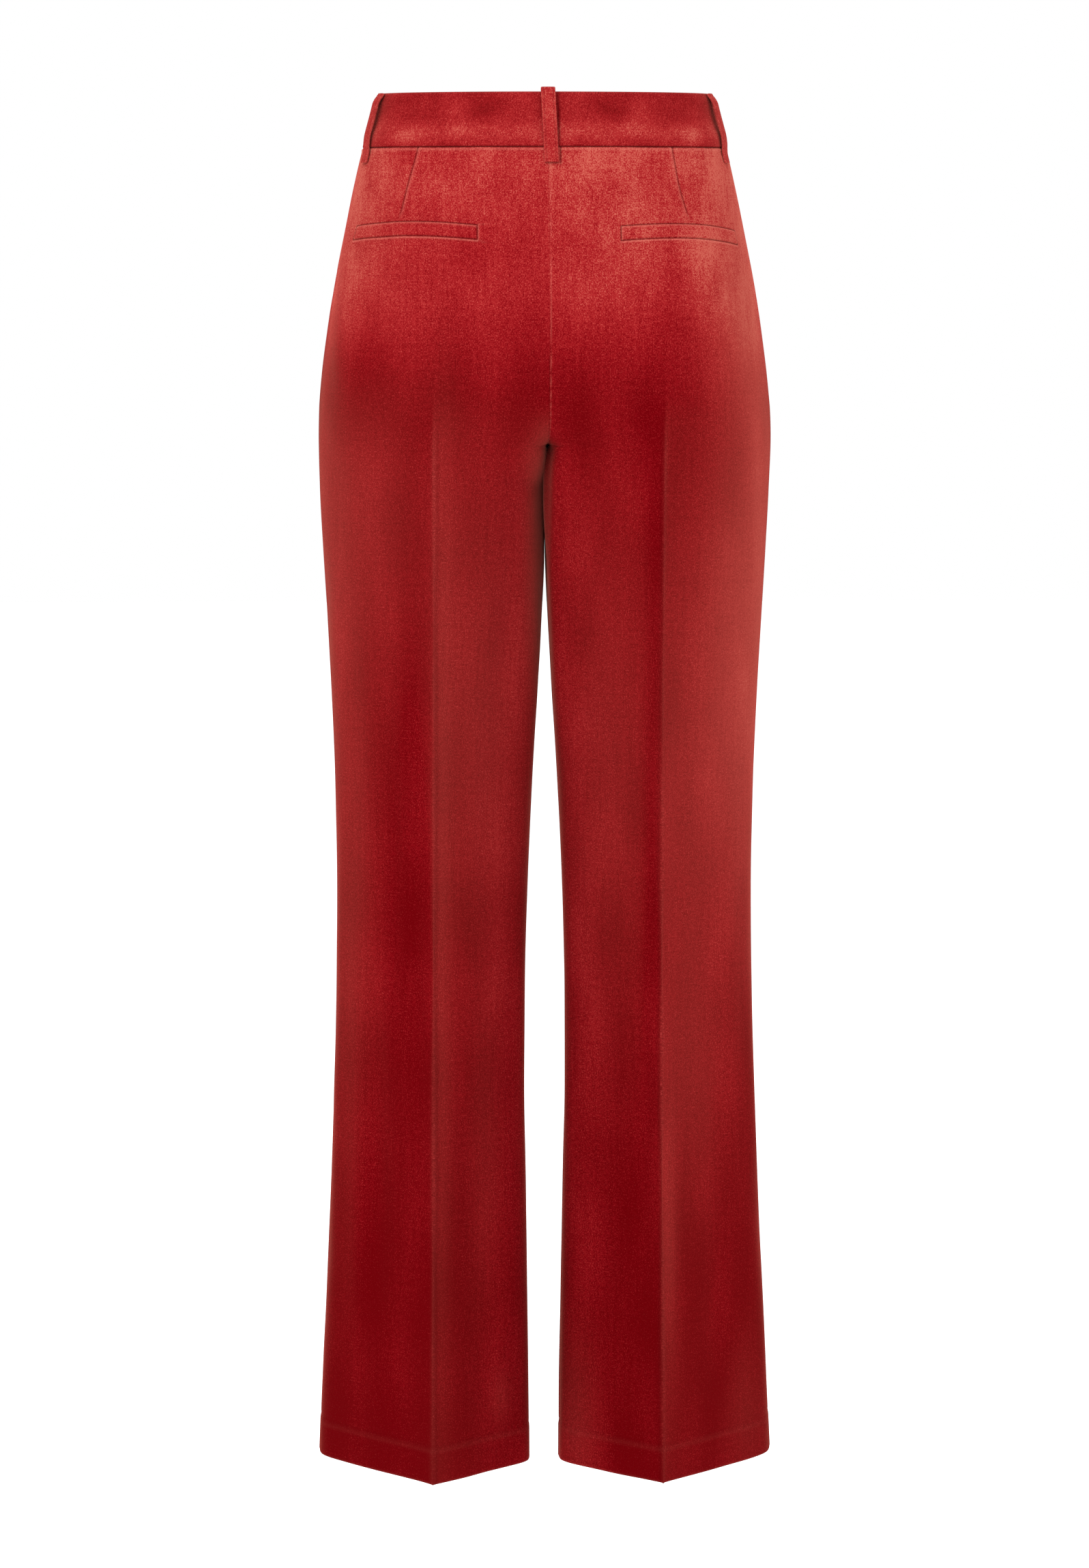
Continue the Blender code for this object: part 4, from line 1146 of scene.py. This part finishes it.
bands = {"back": back_band(), "front_right": front_band_right(), "front_left": front_band_left()}
for key, length, under in (
    ("back", 0.376, [panels[BACK, LEFT], panels[BACK, RIGHT]]),
    ("front_right", 0.196, [panels[FRONT, RIGHT]]),
    ("front_left", 0.218, [panels[FRONT, LEFT]]),
):
    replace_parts(bands[key], f"waistband_{key}")

# %% [markdown]
# ## Belt loops
#
# A loop is a narrow strip folded in three and stitched along both edges, so it is thicker in the
# middle than at its rounded edges. It starts in the top of the band, stands off it by the
# thickness of a belt and ends on the panel below. Its middle line is a short path of heights and
# distances, and its section is carried along that path.

# %% Build the five loops
LOOP_WIDTH, LOOP_WALL, LOOP_SLACK, LOOP_RISE = 0.0110, 0.0022, 0.0030, 0.0030
BACK_LOOP_SHARE, FRONT_LOOP_SHARE, LOOP_SLANT = 0.148, 0.430, 0.0025
LOOP_ROWS, LOOP_COLUMNS = 72, 20
LOOP_STITCH, LOOP_STITCH_IN = 0.0026, 0.0019


def loop_line(count, over):
    """Heights and distances out from the tube along a loop's middle line, as a smooth curve
    through the places that it must pass. The middle loop bends over the band's top edge, and the
    others start flat on its face."""
    half = LOOP_WALL / 2
    flush = BAND_PROUD + SEAM_GAP + half
    out = flush + LOOP_SLACK
    top = BAND_TOP + SEAM_GAP
    bent_over = (
        (top, -0.0004), (top + LOOP_RISE * 0.45, 0.0000), (top + LOOP_RISE * 0.75, 0.0014),
        (top + LOOP_RISE * 0.70, 0.0034), (top + LOOP_RISE * 0.20, out * 0.93),
    )
    on_face = (
        (BAND_TOP - SEAM_GAP, flush), (BAND_TOP * 0.90, flush + LOOP_SLACK * 0.22),
        (BAND_TOP * 0.77, flush + LOOP_SLACK * 0.72),
    )
    places = np.array((
        *(bent_over if over else on_face),
        (BAND_TOP * 0.6, out), (0.0, out), (BAND_SEAM * 0.45, out * 0.94),
        (BAND_SEAM * 0.80, (out + flush) / 2), (BAND_SEAM * 1.08, flush * 0.98),
        (BAND_SEAM * 1.25, half + SEAM_GAP * 1.6), (LOOP_FOOT, half + SEAM_GAP * 1.4),
    ))
    along = np.concatenate([[0], np.cumsum(np.linalg.norm(np.diff(places, axis=0), axis=1))])
    wanted = np.linspace(0, along[-1], count)
    return curve_through(along, places, wanted), wanted


def belt_loop(name, half, share, side):
    """A strap's section, half its thickness times the rounding of its edges, carried along the
    path. Two stitched lines run 1.9 mm from its edges, dark on both faces and a groove in the one
    behind. The middle loop hangs a little aslant."""
    line, along = loop_line(LOOP_ROWS, share == 1)
    z = line[:, 0]
    beside = np.array([-0.001, 0, 0.001]) * (share != 1)
    near = on_tube(half, z, (level_lines(z, half)[3] * share)[:, None] + beside)
    base = near[:, 1]
    if share == 1:
        base[:, 0] = LOOP_SLANT * (0.15 - np.clip((BAND_TOP - z) / (BAND_TOP - LOOP_FOOT), 0, 1))
        normal = np.tile([0.0, float(half), 0.0], (len(line), 1))
    else:
        step = near[:, 2] - near[:, 0]
        normal = np.column_stack([step[:, 1], -step[:, 0], step[:, 0] * 0])
        normal = unit(normal * np.sign(np.sum(normal * base * (1, 1, 0), axis=1))[:, None])
    ahead = unit(np.gradient(line, axis=0))
    across = np.column_stack([normal[:, 1], -normal[:, 0], normal[:, 0] * 0])
    out = normal * ahead[:, :1] - np.array([0.0, 0.0, 1.0]) * ahead[:, 1:]
    out = out * np.sign(ahead[:, :1].min())

    w = LOOP_WIDTH * (eased(LOOP_COLUMNS, 0.8) - 0.5)
    from_edge = LOOP_WIDTH / 2 - abs(w)
    rounding = np.sqrt(np.clip(1 - np.clip(1 - from_edge / 0.0010, 0, 1) ** 2, 0, 1))
    thick = LOOP_WALL / 2 * (0.35 + 0.65 * rounding) * (1 + 0.10 * np.cos(w / LOOP_WIDTH * np.pi))
    stitches = 0.7 + 0.3 * np.cos(along * 2 * np.pi / LOOP_STITCH)[:, None]
    groove = 0.00028 * bell(from_edge - LOOP_STITCH_IN, 0.0005) * stitches
    middle = (base + normal * line[:, 1:])[:, None] + across[:, None] * w[:, None]
    behind = middle - out[:, None] * (thick - groove)[..., None]
    face = middle + out[:, None] * thick[:, None] * 0.9
    flat = np.stack(np.broadcast_arrays(w + 5.0 + share, -along[:, None]), axis=-1)
    # Painted highlights along the rounded edges, and the dark stitched lines
    marks = {
        "pressed": 0.16 * bell(from_edge, 0.0008),
        "sunk": 0.40 * bell(from_edge - LOOP_STITCH_IN, 0.0004) * stitches,
        "brushed": 0.56, "dusty": 0.05,
    }
    made = closed_wall(name, side, behind, face, flat, marks, velvet)
    return made


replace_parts(belt_loop("loop_middle_back", BACK, 1, LEFT), "belt_loop_middle_back")
for side, word in SIDES:
    for half, share, where in (
        (BACK, BACK_LOOP_SHARE, "back"), (FRONT, FRONT_LOOP_SHARE, "front"),
    ):
        made = belt_loop(f"loop_{where}_{word}", half, share, side)
        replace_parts(made, f"belt_loop_{where}_{word}")

# %% [markdown]
# ## Welts
#
# A welt is a narrow doubled strip sewn into the cut of a back pocket. It lies proud of the panel,
# with the dark slit of the pocket along its upper edge and a rolled lower edge that catches the
# light. Painted shade darkens the slit and the groove round the strip, and painted highlights line
# its edges. It follows the panel's own points, moved out, so it bends with the hip.

# %% Build the two welts
WELT_HEIGHT, WELT_INNER_X, WELT_OUTER_X, WELT_ARCH = 0.0110, 0.0550, 0.1450, 0.0032
WELT_TOPS = {LEFT: (-0.0815, -0.0805), RIGHT: (-0.0850, -0.0812)}
WELT_TAIL, TACK_STITCH = (0.0040, 0.0160), 0.0024
WELT_EDGE = np.concatenate([np.linspace(-0.0034, -0.0004, 11), np.linspace(-0.0002, 0.0016, 10)])


def welt_lift(inside):
    """How far the strip stands off the panel, by the distance inside its edge: buried 3.4 mm
    outside of it, a roll, a groove at the edge, and then the doubled strip itself."""
    buried = 0.00055 * fade(inside, -0.0034, -0.0022) - 0.0003
    roll = 0.00040 * bell(inside + 0.0012, 0.0008)
    groove = -0.00018 * bell(inside, 0.0004)
    return buried + roll + groove + 0.0011 * fade(inside, -0.0001, 0.0013)


def tail_creases(past, down):
    """Two short creases past the left welt's inner end, where the pocket behind it pulls."""
    upper = 0.00035 * bell(down + 0.0004 + 0.02 * past, 0.0008)
    lower = 0.0004 * bell(down - WELT_HEIGHT - 0.42 * past, 0.0009)
    upper = upper * fade(past, 0.0, 0.002) * fade(-past, -0.014, -0.004)
    return upper + lower * fade(past, -0.001, 0.001) * fade(-past, -0.011, -0.003)


def strip_places(length, rim, count):
    """Places from one edge of a strip to the other: crowded over both edges, and this many even
    ones between the two rims."""
    even = np.linspace(rim, length - rim, count)
    return np.concatenate([WELT_EDGE, even, length - WELT_EDGE[::-1]])


def welt(name, side):
    """Rows down the strip and columns along it, crowded at its four edges. The left one's grid
    runs on past its inner end, for the creases there."""
    outer_top, inner_top = WELT_TOPS[side]
    outer_arc = arc_at_x(BACK, np.array([outer_top]), WELT_OUTER_X)[0]
    length = arc_at_x(BACK, np.array([inner_top]), WELT_INNER_X)[0] - outer_arc
    tail = length + np.linspace(*WELT_TAIL, 14) if side == LEFT else []
    along = np.concatenate([strip_places(length, 0.003, 62), tail])
    down = strip_places(WELT_HEIGHT, 0.0028, 5)
    share = along / length
    arch = WELT_ARCH * 4 * share * (1 - share) * (abs(share - 0.5) < 0.5)
    z = (outer_top + (inner_top - outer_top) * share + arch)[None] - down[:, None]
    shape, levels = z.shape, z.ravel()
    inner_arc = arc_at_x(BACK, levels, WELT_INNER_X).reshape(shape)
    arcs = (outer_arc + (inner_arc - outer_arc) * share).reshape(-1, 1)
    height, marks, u = relief(BACK, side, levels, arcs, np.zeros(z.size), False)
    height = height.reshape(shape)
    points = on_tube(BACK, levels, arcs).reshape(*shape, 3)
    normals = outward(points, BACK)

    a, v = np.broadcast_arrays(along[None], down[:, None])
    inside = np.minimum.reduce([a, length - a, v, WELT_HEIGHT - v])
    rim = np.minimum.reduce([a - along[0], along[-1] - a, v - down[0], down[-1] - v])
    creases = tail_creases(a - length, v) if side == LEFT else 0 * a
    lift = welt_lift(np.maximum(inside, -0.0022)) - 0.0006 * (1 - fade(rim, 0.0, 0.0012)) + creases
    outer = points + normals * (height + lift)[..., None]
    inner = points + normals * (height - 0.0004)[..., None]

    # Painted highlights: the light comes from above and from the wearer's left, so each edge gets
    # a painted pale line on that side, and the tail creases get painted highlights on their
    # ridges.
    lit = 0.0008 if side == LEFT else length - 0.0008
    unlit = length + 0.0011 if side == LEFT else -0.0011
    body, ends = fade(inside, -0.0003, 0.0), (v > -0.001) & (v < WELT_HEIGHT + 0.001)
    pressed = (
        0.46 * body * bell(v - 0.0009, 0.0007)
        + 0.55 * bell(v - WELT_HEIGHT - 0.0011, 0.0007) * (a > -0.001) * (a < length + 0.001)
        + 0.40 * body * bell(a - lit, 0.0008)
        + 0.40 * ends * bell(a - unlit, 0.0006)
        + 300 * creases
    )
    # Painted shade in the groove round the strip, and dark bar tacks of stitches at its outer end
    tacks = 0.9 * bell(a + 0.0004, 0.0010) * (0.6 + 0.4 * np.sin(v * 2 * np.pi / TACK_STITCH))
    sunk = np.maximum(0.68 * bell(inside, 0.00040), tacks) * ends
    marks = {key: values.reshape(shape) for key, values in marks.items()}
    marks["pressed"] = np.clip(marks["pressed"] + pressed, 0, 1)
    marks["sunk"] = np.clip(marks["sunk"] * (1 - fade(inside, -0.001, 0.0)) + sunk, 0, 1)
    flat = cloth_place(u.reshape(shape), z, BACK, side)
    return closed_wall(name, side, outer, inner, flat, marks, velvet)


for side, word in SIDES:
    made = welt(f"pocket_welt_{word}", side)
    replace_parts(made, f"welt_{word}")
